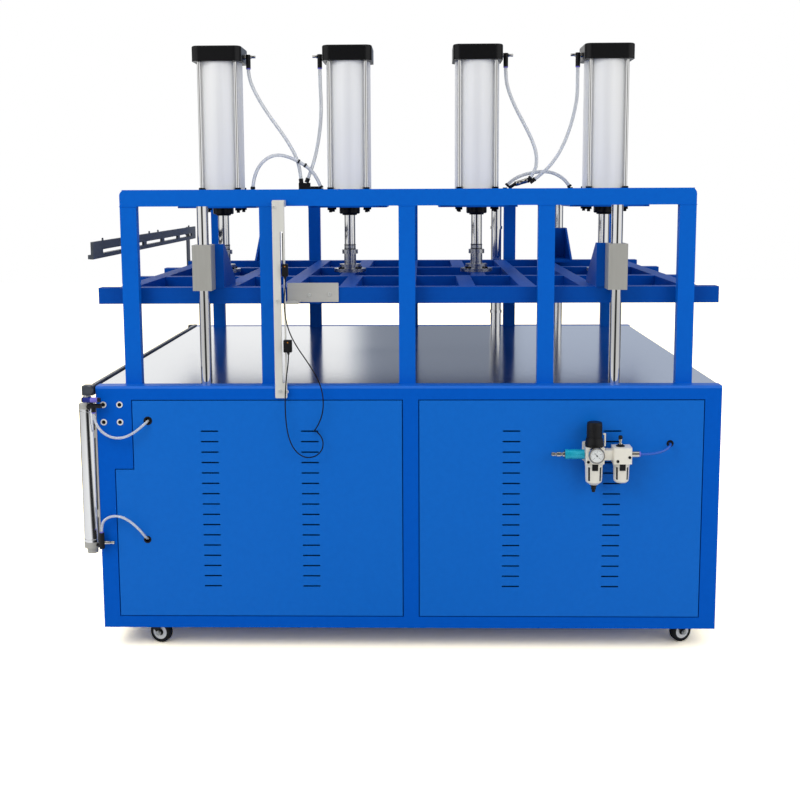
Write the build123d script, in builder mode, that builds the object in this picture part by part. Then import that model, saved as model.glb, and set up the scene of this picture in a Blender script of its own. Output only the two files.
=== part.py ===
"""Compression packing machine: a cabinet with a table, a portal frame, air cylinders and a press platen.

Millimetres, +Z up, +X to the right seen from the front, +Y to the back. The origin is on the floor, in the
middle of the whole machine's footprint. Every piece is drawn from three kinds of plane, all centred on the
cabinet: level(height), facing(depth) and across(offset).
"""

import math
import os

from build123d import *

os.makedirs("parts", exist_ok=True)

# Footprint: where the cabinet's middle stands from the middle of the whole machine
CENTRE_X = 24.5
CENTRE_Y = 46.5

# Cabinet
CABINET_WIDTH = 1900.0
CABINET_DEPTH = 1640.0
CABINET_BOTTOM = 76.0
TABLE_TOP = 840.0
TABLE_SHEET = 4.0
TABLE_HALF_WIDTH = 946.0
TABLE_CORNER = 3.0
TABLE_EDGE = 1.5
EDGE_BAR = 8.0
EDGE_ROUND = 7.0
POST = 50.0
TOP_RAIL = 34.0
BOTTOM_RAIL = 36.0
STOP_WIDTH = 12.0
STOP_THICK = 3.0
PANEL_RETURN = 18.0
PANEL_SHEET = 2.0
PANEL_GAP = 3.0
MIDDLE_POST_X = 10.0
MIDDLE_POST_WIDTH = 47.0
CORNER_PLATE_WIDTH = 57.5
CORNER_PLATE_BOTTOM = 583.0
FLOOR_SHEET = 4.0
FLOOR_HEIGHT = 105.0

# Vent slots in two columns on each front and rear panel, and hose holes in front (x, z, diameter)
VENT_ROWS = 16
VENT_PITCH = 32.65
VENT_LENGTH = 54.0
VENT_WIDTH = 4.5
VENT_MIDDLE = 455.6
VENT_COLUMNS = (-605.0, -298.0, 317.0, 623.0)
LEFT_PANEL_HOLES = ((-793.0, 733.0, 23.0), (-806.0, 359.0, 20.0))
RIGHT_PANEL_HOLES = ((797.6, 662.0, 18.0),)

# Portals
UPRIGHTS_X = (-843.0, -421.0, 0.0, 421.0, 843.0)
PORTAL_Y = 760.0
PORTAL_TUBE = 50.0
PORTAL_DEPTH = 30.0
PORTAL_TOP = 1432.0
PORTAL_CORNER = 18.0

# Press cylinders
CYLINDERS_X = (-685.5, -220.5, 244.5, 709.5)
CAP_SIDE = 178.0
LOWER_CAP = 48.0
UPPER_CAP = 54.0
CAP_CORNER = 26.0
CAP_EDGE = 6.0
CYLINDER_TOP = 1940.0
BARREL_DIAMETER = 160.0
BORE = 152.0
TIE_ROD = 13.0
TIE_ROD_SPACING = 130.0
ROD = 40.0
ROD_CLEARANCE = 0.05
PISTON_THICK = 45.0
PISTON_CLEARANCE = 0.4
PISTON_BOTTOM = 1700.0
PLATE_SIDE = 280.0
PLATE_THICK = 14.0
PLATE_CORNER = 6.0
BEAM_OFFSET = 118.0
OUTER_BEAM_LIMIT = 800.0
NOSE_DIAMETER = 75.0
NOSE_LENGTH = 24.0
NOSE_GAP = 0.5
NOSE_CHAMFER = 3.0

# Guides
GUIDES_X = (-620.0, 634.0)
GUIDE_DIAMETER = 35.0
GUIDE_CLEARANCE = 0.05
BEARING_WIDTH = 58.0
BEARING_DEPTH = 70.0
BEARING_BOTTOM = 1128.0
BEARING_TOP = 1266.0
BLOCK_CHAMFER = 2.0
BRACKET_WIDTH = 82.0
BRACKET_SHIFT = 14.0
BRACKET_PLATE = 12.0
GUSSET = 8.0
GUSSET_LENGTH = 210.0
GUSSET_TIP = 12.0
REAR_POST_X = 364.0
REAR_POST_DIAMETER = 45.0
REAR_POST_RINGS = (905.0, 1268.0)
REAR_RING_DIAMETER = 52.0
REAR_RING_HEIGHT = 12.0

# Platen
PLATEN_LEFT = -957.0
PLATEN_RIGHT = 956.0
PLATEN_TOP = 1132.0
PLATEN_TUBE = 40.0
PLATEN_WIDE = 50.0
PRESS_PLATE = 10.0
LONG_TUBES_Y = (-695.0, -232.0, 232.0, 695.0)
CROSS_TUBES_X = (-875.0, -561.0, -374.0, -187.0, 0.0, 187.0, 374.0, 561.0, 875.0)
CENTRE_BAY_X = (-875.0, -561.0, -374.0, 0.0, 374.0, 561.0, 875.0)

# Rod couplings
PAD_DIAMETER = 118.0
PAD_HEIGHT = 12.0
COUPLING_FLANGE = 79.0
COUPLING_FLANGE_TOP = 28.0
COUPLING_BODY = 44.0
COUPLING_BODY_TOP = 66.0
COUPLING_COLLAR = 58.0
COUPLING_HEIGHT = 81.0

# Switch arm, sensor bar and the two sensors on it (left, right, bottom, top, depth)
ARM_LEFT = -370.0
ARM_RIGHT = -212.0
ARM_BOTTOM = 1087.0
ARM_TOP = 1146.0
ARM_SHEET = 5.0
ARM_REACH = 70.0
ARM_FLAG_RIGHT = -330.0
SENSOR_BAR_X = -382.0
SENSOR_BAR_WIDTH = 36.0
SENSOR_BAR_SHEET = 8.0
SENSOR_BAR_BOTTOM = 804.0
SENSOR_BAR_TOP = 1399.0
SENSOR_BAR_CORNER = 4.0
SENSOR_SLOT = 9.0
SENSOR_SLOT_OFFSET = 9.0
SENSOR_SLOT_TOP = 1308.0
SENSOR_SLOT_BOTTOM = 850.0
SPACER_HEIGHT = 20.0
SENSOR_SPACERS = ((-400.0, -364.0, 1390.0), (-400.0, -388.0, 1092.0))
SENSORS = ((-372.0, -354.0, 1174.0, 1211.0, 14.0), (-371.0, -346.0, 946.0, 983.0, 16.0))
SENSOR_EDGE = 2.0

# Sealing bars on the left side
LOWER_BAR_X = -962.0
LOWER_BAR_WIDTH = 14.0
LOWER_BAR_TOP = 842.0
LOWER_BAR_HEIGHT = 30.0
LOWER_BAR_HALF = 824.0
LOWER_BAR_CORNER = 3.0
END_BLOCK_LEFT = -991.0
END_BLOCK_LENGTH = 28.0
END_BOSS = 26.0
END_BOSS_X = -967.0
END_BOSS_LENGTH = 10.0
UPPER_BAR_FACE = -940.0
UPPER_BAR_SHEET = 8.0
UPPER_BAR_BOTTOM = 1226.0
UPPER_BAR_TOP = 1278.0
UPPER_BAR_FRONT = -820.0
UPPER_BAR_BACK = 764.0
UPPER_BAR_CORNER = 3.0
UPPER_FOOT_LEFT = -957.0
UPPER_FOOT_HEIGHT = 13.0
WINDOW_LENGTH = 247.0
WINDOW_PITCH = 287.0
WINDOW_HEIGHT = 12.0
WINDOW_MIDDLE = -14.0
WINDOW_COUNT = 5
WINDOW_CORNER = 2.0
HANGERS_Y = (-232.0, 695.0)
HANGER_SHEET = 6.0

# Side cylinders
SEAL_CYLINDER_X = -980.0
SEAL_CYLINDER_Y = 810.0
SEAL_BARREL = 49.0
SEAL_BARREL_BOTTOM = 352.0
SEAL_BARREL_TOP = 771.0
SEAL_CAP = 50.0
SEAL_CAP_HEIGHT = 19.0
SEAL_TOP_CAP_HEIGHT = 14.0
SEAL_NOSE = 33.0
SEAL_NOSE_HEIGHT = 17.0
SEAL_ROD = 16.0
SEAL_BORE = 44.0
SEAL_PISTON = 20.0
SEAL_PISTON_BOTTOM = 356.0
SEAL_STRIP = 5.0
SEAL_STRIP_WIDTH = 24.0
SADDLES = (430.0, 680.0)
SADDLE_INSET = 12.0
SADDLE_HEIGHT = 24.0

# Air preparation unit on the right front panel; couplings are (start, length, diameter)
REGULATOR_X = 561.0
LUBRICATOR_X = 643.0
AIR_UNIT_REACH = 48.0
UNIT_BOTTOM = 615.0
UNIT_TOP = 664.0
UNIT_LINE = 640.0
UNIT_WIDTH = 56.0
UNIT_DEPTH = 56.0
UNIT_CORNER = 6.0
LINK_DEPTH = 34.0
LINK_HEIGHT = 30.0
BONNET = 38.0
BONNET_HEIGHT = 12.0
UNIT_BRACKET_WIDTH = 60.0
UNIT_BRACKET_HEIGHT = 60.0
UNIT_BRACKET_SHEET = 4.0
UNIT_BRACKET_NECK = 30.0
BOWL_LEFT = 52.0
BOWL_RIGHT = 48.0
BOWL_BOTTOM = 539.0
BOWL_TAPER = 1.5
DRAIN = 12.0
DRAIN_BOTTOM = 521.0
SIGHT_DOME = 30.0
SIGHT_DOME_HEIGHT = 32.0
SIGHT_DOME_EDGE = 8.0
KNOB = 45.0
KNOB_BOTTOM = 677.0
KNOB_TOP = 739.0
KNOB_EDGE = 5.0
GAUGE = 46.0
GAUGE_DEPTH = 24.0
GAUGE_STEM = 12.0
GAUGE_STEM_LENGTH = 8.0
GAUGE_Z = 648.0
COUPLINGS = ((433.0, 40.0, 10.0), (473.0, 60.0, 28.0), (671.0, 24.0, 20.0))

# Casters (x, y, heading in degrees)
CASTERS = ((-818.0, -735.0, -16.0), (-818.0, 735.0, 12.0), (838.0, -735.0, 24.0), (838.0, 735.0, -8.0))
CASTER_TRAIL = 30.0
CASTER_PLATE = 4.0
CASTER_PLATE_LENGTH = 92.0
CASTER_PLATE_WIDTH = 66.0
CASTER_PLATE_CORNER = 6.0
CASTER_RACE = 50.0
CASTER_RACE_HEIGHT = 12.0
FORK_WIDTH = 36.0
FORK_SHEET = 3.0
FORK_NOSE = 9.0
WHEEL_DIAMETER = 70.0
WHEEL_WIDTH = 25.0
WHEEL_ROUND = 6.0
RIM_OUTER = 24.0
RIM_INNER = 11.0
RIM_RECESS = 3.0
AXLE = 10.0
AXLE_CLEARANCE = 0.05

# Hose and cable diameters, and the points each one runs through (x, y, z)
HOSE = 12.5
THIN_HOSE = 8.0
CABLE = 3.6
CYLINDER_HOSES = (
    (
        (-582.5, 0.0, 1868.0),
        (-582.5, 0.0, 1834.0),
        (-556.0, 4.0, 1772.0),
        (-516.0, 7.0, 1706.0),
        (-479.0, 8.0, 1656.0),
        (-443.0, 7.0, 1603.0),
        (-417.0, 5.0, 1556.0),
        (-402.0, 2.0, 1511.0),
        (-398.0, 0.0, 1468.0),
    ),
    (
        (-323.5, 0.0, 1868.0),
        (-323.5, 0.0, 1812.0),
        (-320.0, 4.0, 1742.0),
        (-324.0, 7.0, 1666.0),
        (-335.0, 7.0, 1594.0),
        (-348.0, 4.0, 1540.0),
        (-362.0, 0.0, 1498.0),
        (-373.0, 0.0, 1470.0),
    ),
    (
        (347.5, 0.0, 1868.0),
        (347.5, 0.0, 1833.0),
        (357.0, 3.0, 1785.0),
        (385.0, 6.0, 1721.0),
        (417.0, 8.0, 1664.0),
        (444.0, 7.0, 1611.0),
        (460.0, 5.0, 1567.0),
        (463.0, 2.0, 1527.0),
        (456.0, 0.0, 1495.0),
        (439.0, 0.0, 1471.0),
    ),
    (
        (606.5, 0.0, 1868.0),
        (606.5, 0.0, 1822.0),
        (607.0, 4.0, 1757.0),
        (593.0, 7.0, 1686.0),
        (573.0, 8.0, 1620.0),
        (546.0, 6.0, 1562.0),
        (514.0, 3.0, 1517.0),
        (482.0, 0.0, 1486.0),
        (454.0, 0.0, 1465.0),
    ),
)
LEFT_LINK_HOSE = (
    (-571.0, -28.0, 1440.0),
    (-567.0, -28.0, 1476.0),
    (-546.0, -29.0, 1521.0),
    (-513.0, -30.0, 1550.0),
    (-474.0, -30.0, 1559.0),
    (-434.0, -30.0, 1549.0),
    (-397.0, -29.0, 1530.0),
    (-363.0, -28.0, 1508.0),
    (-337.0, -28.0, 1476.0),
    (-323.0, -28.0, 1441.0),
)
RIGHT_LINK_HOSE = (
    (358.5, 30.0, 1445.5),
    (376.0, 30.0, 1463.0),
    (408.0, 30.0, 1480.0),
    (446.0, 31.0, 1490.0),
    (489.0, 31.0, 1495.0),
    (525.0, 30.0, 1490.0),
    (555.0, 30.0, 1475.0),
    (574.0, 30.0, 1458.0),
    (586.0, 30.0, 1441.0),
)
SIDE_UPPER_HOSE = (
    (-951.0, -846.0, 765.0),
    (-951.0, -846.0, 745.0),
    (-938.0, -848.0, 716.0),
    (-915.0, -850.0, 694.0),
    (-885.0, -850.0, 684.0),
    (-854.0, -848.0, 688.0),
    (-826.0, -844.0, 704.0),
    (-806.0, -838.0, 720.0),
    (-795.0, -828.0, 730.0),
    (-793.0, -812.0, 733.0),
    (-793.0, -797.0, 733.0),
)
SIDE_LOWER_HOSE = (
    (-943.0, -838.0, 386.0),
    (-943.0, -838.0, 408.0),
    (-931.0, -843.0, 429.0),
    (-908.0, -846.0, 441.0),
    (-879.0, -848.0, 440.0),
    (-853.0, -848.0, 426.0),
    (-832.0, -845.0, 406.0),
    (-817.0, -840.0, 386.0),
    (-809.0, -832.0, 370.0),
    (-806.0, -818.0, 361.0),
    (-806.0, -803.0, 359.0),
)
OUTLET_HOSE = (
    (695.0, -868.0, 640.0),
    (719.0, -868.0, 640.0),
    (747.0, -866.0, 642.0),
    (773.0, -860.0, 649.0),
    (790.0, -848.0, 658.0),
    (797.0, -833.0, 662.0),
    (797.6, -817.0, 662.0),
    (797.6, -802.0, 662.0),
)
UPPER_SENSOR_CABLE = (
    (-363.0, -835.0, 1174.0),
    (-363.0, -835.0, 1146.0),
    (-368.0, -839.0, 1100.0),
    (-364.0, -841.0, 1050.0),
    (-352.0, -842.0, 1004.0),
    (-330.0, -843.0, 962.0),
    (-302.0, -843.0, 921.0),
    (-276.0, -844.0, 880.0),
    (-258.0, -844.0, 838.0),
    (-252.0, -845.0, 796.0),
    (-256.0, -845.0, 758.0),
    (-268.0, -842.0, 727.0),
    (-281.0, -834.0, 706.0),
    (-286.0, -826.0, 700.5),
    (-286.5, -810.0, 700.5),
)
LOWER_SENSOR_CABLE = (
    (-357.0, -836.0, 946.0),
    (-357.0, -836.0, 918.0),
    (-364.0, -840.0, 872.0),
    (-368.0, -841.0, 822.0),
    (-369.0, -843.0, 772.0),
    (-366.0, -845.0, 722.0),
    (-358.0, -847.0, 680.0),
    (-341.0, -848.0, 645.0),
    (-313.0, -848.0, 624.0),
    (-281.0, -848.0, 626.0),
    (-259.0, -847.0, 645.0),
    (-254.0, -844.0, 670.0),
    (-262.0, -838.0, 690.0),
    (-276.0, -829.0, 700.5),
    (-277.0, -811.0, 700.5),
)
CORD_BEND = 0.45

# Air fittings: round pieces are (start, end, diameter), and a port is the point that it faces
ELBOW = 17.0
ELBOW_TOP = 1916.0
ELBOW_PORT = 14.0
ELBOW_PORT_Z = 1908.0
ELBOW_SCREW = 9.0
ELBOW_SCREW_REACH = 26.0
LINK_SOCKET = 18.0
LINK_SOCKET_LENGTH = 4.0
LINK_STEM = 16.0
LINK_STEM_HEIGHT = 5.0
LINK_STEMS = ((-571.6, -28.0), (-321.6, -28.0), (350.0, 30.0), (591.0, 30.0))
LEFT_TEE_FOOT = (-406.0, -330.0, 1432.0, 1444.0)
LEFT_TEE_BLOCK = (-406.0, -364.0, 1440.0, 1457.0)
TEE_DEPTH = 16.0
TEE_SOCKET = 16.0
TEE_SOCKET_LENGTH = 13.0
RIGHT_TEE = (
    ((367.0, 0.0, 1438.0), (392.0, 0.0, 1454.0), 12.0),
    ((367.0, 0.0, 1432.0), (367.0, 0.0, 1444.0), 12.0),
    ((384.0, 0.0, 1449.0), (434.0, 0.0, 1464.0), 17.0),
)
RIGHT_SOCKET = 14.0
RIGHT_SOCKET_LENGTH = 18.0
PORT = 10.0
PORT_SPOT = 12.0
PORT_SPOT_REACH = 24.0
UPPER_PORT = (-966.0, -846.0, 778.0)
LOWER_PORT = (-943.0, -838.0, 343.0)
SIDE_FITTINGS = (
    ((-968.0, -846.0, 784.0), (-926.0, -846.0, 784.0), 14.0),
    ((-951.0, -846.0, 784.0), (-951.0, -846.0, 765.0), 14.0),
    ((-984.0, -850.0, 803.0), (-928.0, -850.0, 803.0), 14.0),
    ((-956.0, -847.0, 784.0), (-956.0, -849.5, 803.0), 10.0),
    ((-943.0, -838.0, 336.0), (-943.0, -838.0, 386.0), 16.0),
    ((-943.0, -838.0, 355.0), (-918.0, -838.0, 355.0), 10.0),
    ((-918.0, -838.0, 355.0), (-905.0, -838.0, 355.0), 8.0),
)

FRONT = -CABINET_DEPTH / 2
AIR_UNIT_Y = FRONT - AIR_UNIT_REACH
TABLE_UNDERSIDE = TABLE_TOP - TABLE_SHEET
EDGE_UNDERSIDE = TABLE_TOP - EDGE_BAR
PORTAL_RAIL_BOTTOM = PORTAL_TOP - PORTAL_TUBE
PLATE_BOTTOM = PORTAL_RAIL_BOTTOM - PLATE_THICK
LOWER_CAP_TOP = PORTAL_RAIL_BOTTOM + LOWER_CAP
UPPER_CAP_BOTTOM = CYLINDER_TOP - UPPER_CAP
PLATEN_TUBE_BOTTOM = PLATEN_TOP - PLATEN_TUBE
COUPLING_TOP = PLATEN_TOP + COUPLING_HEIGHT
INNER_HALF_WIDTH = CABINET_WIDTH / 2 - POST
INNER_HALF_DEPTH = CABINET_DEPTH / 2 - POST
OPENING_BOTTOM = CABINET_BOTTOM + BOTTOM_RAIL
OPENING_TOP = EDGE_UNDERSIDE - TOP_RAIL
COUPLING_PROFILE = (
    (0.0, 0.0),
    (PAD_DIAMETER / 2, 0.0),
    (PAD_DIAMETER / 2, PAD_HEIGHT),
    (COUPLING_FLANGE / 2, PAD_HEIGHT),
    (COUPLING_FLANGE / 2, COUPLING_FLANGE_TOP),
    (COUPLING_BODY / 2, COUPLING_FLANGE_TOP),
    (COUPLING_BODY / 2, COUPLING_BODY_TOP),
    (COUPLING_COLLAR / 2, COUPLING_BODY_TOP),
    (COUPLING_COLLAR / 2, COUPLING_HEIGHT),
    (0.0, COUPLING_HEIGHT),
)


def level(height):
    """A horizontal plane at this height, centred on the cabinet."""
    return Plane((CENTRE_X, CENTRE_Y, height))


def facing(depth):
    """An upright plane at this depth seen from the front: x to the right, y up, normal to the front."""
    return Plane(origin=(CENTRE_X, CENTRE_Y + depth, 0), x_dir=(1, 0, 0), z_dir=(0, -1, 0))


def facing_back(depth):
    """An upright plane at this depth seen from behind: x to the left, y up, normal to the back."""
    return Plane(origin=(CENTRE_X, CENTRE_Y + depth, 0), x_dir=(-1, 0, 0), z_dir=(0, 1, 0))


def across(offset):
    """An upright plane at this offset seen from the right: x to the back, y up, normal to the right."""
    return Plane(origin=(CENTRE_X + offset, CENTRE_Y, 0), x_dir=(0, 1, 0), z_dir=(1, 0, 0))


def across_left(offset):
    """An upright plane at this offset seen from the left: x to the front, y up, normal to the left."""
    return Plane(origin=(CENTRE_X + offset, CENTRE_Y, 0), x_dir=(0, -1, 0), z_dir=(-1, 0, 0))


def save(piece, label):
    """Labels a finished piece and writes its file."""
    piece.part.label = label
    export_step(piece.part, f"parts/{label}.step")


def tray(outline, plane, columns, holes):
    """Adds a sheet panel with folded edges, vent slots in columns, and round holes (x, y, diameter)."""
    with BuildSketch(plane) as sheet:
        with BuildLine():
            Polyline(*outline, close=True)
        make_face()
    with BuildSketch(plane) as edges:
        add(sheet.sketch_local)
        offset(amount=-PANEL_SHEET, kind=Kind.INTERSECTION, mode=Mode.SUBTRACT)
    extrude(sheet.sketch, amount=-PANEL_SHEET)
    extrude(edges.sketch, amount=-PANEL_RETURN)
    if columns:
        with BuildSketch(plane) as cuts:
            for column in columns:
                with Locations((column, VENT_MIDDLE)):
                    with GridLocations(0, VENT_PITCH, 1, VENT_ROWS):
                        SlotOverall(VENT_LENGTH, VENT_WIDTH)
            for x, y, diameter in holes:
                with Locations((x, y)):
                    Circle(diameter / 2)
        extrude(cuts.sketch, amount=-PANEL_SHEET, mode=Mode.SUBTRACT)


def placed(point):
    """A point measured from the cabinet's middle, as a vector in the machine's own frame."""
    return Vector(CENTRE_X, CENTRE_Y, 0) + Vector(*point)


def round_bar(start, end, diameter):
    """Adds a round bar from one point to another."""
    reach = placed(end) - placed(start)
    with BuildSketch(Plane(origin=placed(start), z_dir=reach)) as ring:
        Circle(diameter / 2)
    extrude(ring.sketch, amount=reach.length)


def socket(end, behind, diameter, length):
    """Adds the round socket that a hose ends in, from the hose's end on, in line with its last run."""
    with BuildSketch(Plane(origin=placed(end), z_dir=placed(end) - placed(behind))) as ring:
        Circle(diameter / 2)
    extrude(ring.sketch, amount=length)


def cord(points, diameter, label):
    """Saves a hose or cable: straight runs through the points with tangent arcs between them."""
    route = [placed(point) for point in points]
    runs = [after - before for before, after in zip(route, route[1:])]
    radii = [
        CORD_BEND * min(one.length, two.length) / math.tan(math.radians(one.get_angle(two)) / 2)
        for one, two in zip(runs, runs[1:])
    ]
    with BuildPart() as tube:
        with BuildLine() as line:
            FilletPolyline(*route, radius=radii)
        with BuildSketch(Plane(origin=route[0], z_dir=runs[0])):
            Circle(diameter / 2)
        sweep()
    length = line.wires()[0].length
    ratio = tube.part.volume / (math.pi * diameter**2 / 4 * length)
    print(f"{label}: length {length:.1f}, smallest radius {min(radii):.1f}, volume ratio {ratio:.4f}")
    save(tube, label)


def rectangle_outline(left, right, bottom, top):
    """The corners of a rectangle."""
    return [(left, bottom), (right, bottom), (right, top), (left, top)]


# Cabinet posts: square tube at the corners and in the middle of the front and back
with BuildPart() as cabinet_posts:
    with BuildSketch(level(CABINET_BOTTOM)):
        with GridLocations(CABINET_WIDTH - POST, CABINET_DEPTH - POST, 2, 2):
            Rectangle(POST, POST)
        with Locations((MIDDLE_POST_X, 0)):
            with GridLocations(0, CABINET_DEPTH - POST, 1, 2):
                Rectangle(MIDDLE_POST_WIDTH, POST)
    extrude(amount=EDGE_UNDERSIDE - CABINET_BOTTOM)
save(cabinet_posts, "cabinet_posts")

# Cabinet rails between the posts
MIDDLE_LEFT = MIDDLE_POST_X - MIDDLE_POST_WIDTH / 2
MIDDLE_RIGHT = MIDDLE_POST_X + MIDDLE_POST_WIDTH / 2
CORNER_RIGHT = -INNER_HALF_WIDTH + CORNER_PLATE_WIDTH
POST_LINE = (CABINET_DEPTH - POST) / 2
with BuildPart() as cabinet_rails:
    with BuildSketch(level(CABINET_BOTTOM)):
        for left, right in ((-INNER_HALF_WIDTH, MIDDLE_LEFT), (MIDDLE_RIGHT, INNER_HALF_WIDTH)):
            with Locations(((left + right) / 2, -POST_LINE), ((left + right) / 2, POST_LINE)):
                Rectangle(right - left, POST)
        with GridLocations(CABINET_WIDTH - POST, 0, 2, 1):
            Rectangle(POST, 2 * INNER_HALF_DEPTH)
    extrude(amount=BOTTOM_RAIL)
    with BuildSketch(level(OPENING_TOP)):
        for left, right, line in (
            (CORNER_RIGHT, MIDDLE_LEFT, -POST_LINE),
            (-INNER_HALF_WIDTH, MIDDLE_LEFT, POST_LINE),
            (MIDDLE_RIGHT, INNER_HALF_WIDTH, -POST_LINE),
            (MIDDLE_RIGHT, INNER_HALF_WIDTH, POST_LINE),
        ):
            with Locations(((left + right) / 2, line)):
                Rectangle(right - left, POST)
    extrude(amount=TOP_RAIL)
    with BuildSketch(level(OPENING_TOP)):
        with GridLocations(CABINET_WIDTH - POST, 0, 2, 1):
            Rectangle(POST, 2 * INNER_HALF_DEPTH)
    extrude(amount=TABLE_UNDERSIDE - OPENING_TOP)
save(cabinet_rails, "cabinet_rails")

# Table edges: a bar along the top of the front and of the back, its outer edge rounded
with BuildPart() as table_edges:
    with BuildSketch(level(EDGE_UNDERSIDE)):
        with Locations((0, -POST_LINE), (0, POST_LINE)):
            Rectangle(CABINET_WIDTH, POST)
    extrude(amount=EDGE_BAR)
    long_edges = table_edges.faces().sort_by(Axis.Z)[-2:].edges().filter_by(Axis.X).group_by(Axis.Y)
    fillet(long_edges[0] + long_edges[-1], EDGE_ROUND)
save(table_edges, "table_edges")

# Panel stops: a flat frame behind each panel, which its folded edges rest on
STOP_FACE = CABINET_DEPTH / 2 - PANEL_RETURN
with BuildPart() as panel_stops:
    for left, right, side in (
        (-INNER_HALF_WIDTH, MIDDLE_LEFT, facing(-STOP_FACE)),
        (MIDDLE_RIGHT, INNER_HALF_WIDTH, facing(-STOP_FACE)),
        (-INNER_HALF_WIDTH, -MIDDLE_RIGHT, facing_back(STOP_FACE)),
        (-MIDDLE_LEFT, INNER_HALF_WIDTH, facing_back(STOP_FACE)),
        (-INNER_HALF_DEPTH, INNER_HALF_DEPTH, across(CABINET_WIDTH / 2 - PANEL_RETURN)),
        (-INNER_HALF_DEPTH, INNER_HALF_DEPTH, across_left(PANEL_RETURN - CABINET_WIDTH / 2)),
    ):
        with BuildSketch(side):
            with Locations(((left + right) / 2, (OPENING_BOTTOM + OPENING_TOP) / 2)):
                Rectangle(right - left, OPENING_TOP - OPENING_BOTTOM)
                offset(amount=-STOP_WIDTH, kind=Kind.INTERSECTION, mode=Mode.SUBTRACT)
        extrude(amount=-STOP_THICK)
save(panel_stops, "panel_stops")

# Cabinet floor: a sheet inside the bottom rails, which the casters are bolted under
with BuildPart() as cabinet_floor:
    with BuildSketch(level(FLOOR_HEIGHT)):
        Rectangle(2 * INNER_HALF_WIDTH, 2 * INNER_HALF_DEPTH)
    extrude(amount=FLOOR_SHEET)
save(cabinet_floor, "cabinet_floor")

# Corner plate: fills the top left of the left opening, flush with the post
with BuildPart() as corner_plate:
    with BuildSketch(facing(FRONT)):
        with Locations(((CORNER_RIGHT - INNER_HALF_WIDTH) / 2, (EDGE_UNDERSIDE + CORNER_PLATE_BOTTOM) / 2)):
            Rectangle(CORNER_PLATE_WIDTH, EDGE_UNDERSIDE - CORNER_PLATE_BOTTOM)
    extrude(amount=-PANEL_RETURN)
save(corner_plate, "corner_plate")

# Cabinet panels: the left front one stepped round the corner plate, the rear ones plain, the sides unvented
PANEL_BOTTOM = OPENING_BOTTOM + PANEL_GAP
PANEL_TOP = OPENING_TOP - PANEL_GAP
PANEL_OUTER = INNER_HALF_WIDTH - PANEL_GAP
STEPPED_OUTLINE = [
    (-PANEL_OUTER, PANEL_BOTTOM),
    (MIDDLE_LEFT - PANEL_GAP, PANEL_BOTTOM),
    (MIDDLE_LEFT - PANEL_GAP, PANEL_TOP),
    (CORNER_RIGHT + PANEL_GAP, PANEL_TOP),
    (CORNER_RIGHT + PANEL_GAP, CORNER_PLATE_BOTTOM - PANEL_GAP),
    (-PANEL_OUTER, CORNER_PLATE_BOTTOM - PANEL_GAP),
]
SIDE_REACH = INNER_HALF_DEPTH - PANEL_GAP
REAR_COLUMNS = [-column for column in VENT_COLUMNS]
with BuildPart() as cabinet_panels:
    tray(STEPPED_OUTLINE, facing(FRONT), VENT_COLUMNS[:2], LEFT_PANEL_HOLES)
    tray(
        rectangle_outline(MIDDLE_RIGHT + PANEL_GAP, PANEL_OUTER, PANEL_BOTTOM, PANEL_TOP),
        facing(FRONT),
        VENT_COLUMNS[2:],
        RIGHT_PANEL_HOLES,
    )
    tray(
        rectangle_outline(-PANEL_OUTER, -MIDDLE_RIGHT - PANEL_GAP, PANEL_BOTTOM, PANEL_TOP),
        facing_back(-FRONT),
        REAR_COLUMNS[2:],
        [],
    )
    tray(
        rectangle_outline(-MIDDLE_LEFT + PANEL_GAP, PANEL_OUTER, PANEL_BOTTOM, PANEL_TOP),
        facing_back(-FRONT),
        REAR_COLUMNS[:2],
        [],
    )
    for side in (across_left(-CABINET_WIDTH / 2), across(CABINET_WIDTH / 2)):
        tray(rectangle_outline(-SIDE_REACH, SIDE_REACH, PANEL_BOTTOM, PANEL_TOP), side, [], [])
save(cabinet_panels, "cabinet_panels")

# Table top: one stainless sheet between the edge bars, resting on the side rails
with BuildPart() as table_top:
    with BuildSketch(level(TABLE_UNDERSIDE)):
        RectangleRounded(2 * TABLE_HALF_WIDTH, 2 * INNER_HALF_DEPTH, TABLE_CORNER)
    extrude(amount=TABLE_SHEET)
    fillet(table_top.faces().sort_by(Axis.Z)[-1].edges(), TABLE_EDGE)
save(table_top, "table_top")

# Portal uprights: five flat ones in the front row and five in the rear row
with BuildPart() as portal_uprights:
    with BuildSketch(level(TABLE_TOP)):
        with Locations(*[(x, y) for x in UPRIGHTS_X for y in (-PORTAL_Y, PORTAL_Y)]):
            Rectangle(PORTAL_TUBE, PORTAL_DEPTH)
    extrude(amount=PORTAL_RAIL_BOTTOM - TABLE_TOP)
save(portal_uprights, "portal_uprights")

# Portal rails: along the tops of the uprights, the upper outer corners rounded
with BuildPart() as portal_rails:
    for depth in (-PORTAL_Y - PORTAL_DEPTH / 2, PORTAL_Y - PORTAL_DEPTH / 2):
        with BuildSketch(facing(depth)) as rail_face:
            with Locations((0, PORTAL_TOP - PORTAL_TUBE / 2)):
                Rectangle(2 * UPRIGHTS_X[-1] + PORTAL_TUBE, PORTAL_TUBE)
            fillet(rail_face.vertices().group_by(Axis.Y)[-1], PORTAL_CORNER)
        extrude(amount=-PORTAL_DEPTH)
save(portal_rails, "portal_rails")

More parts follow.
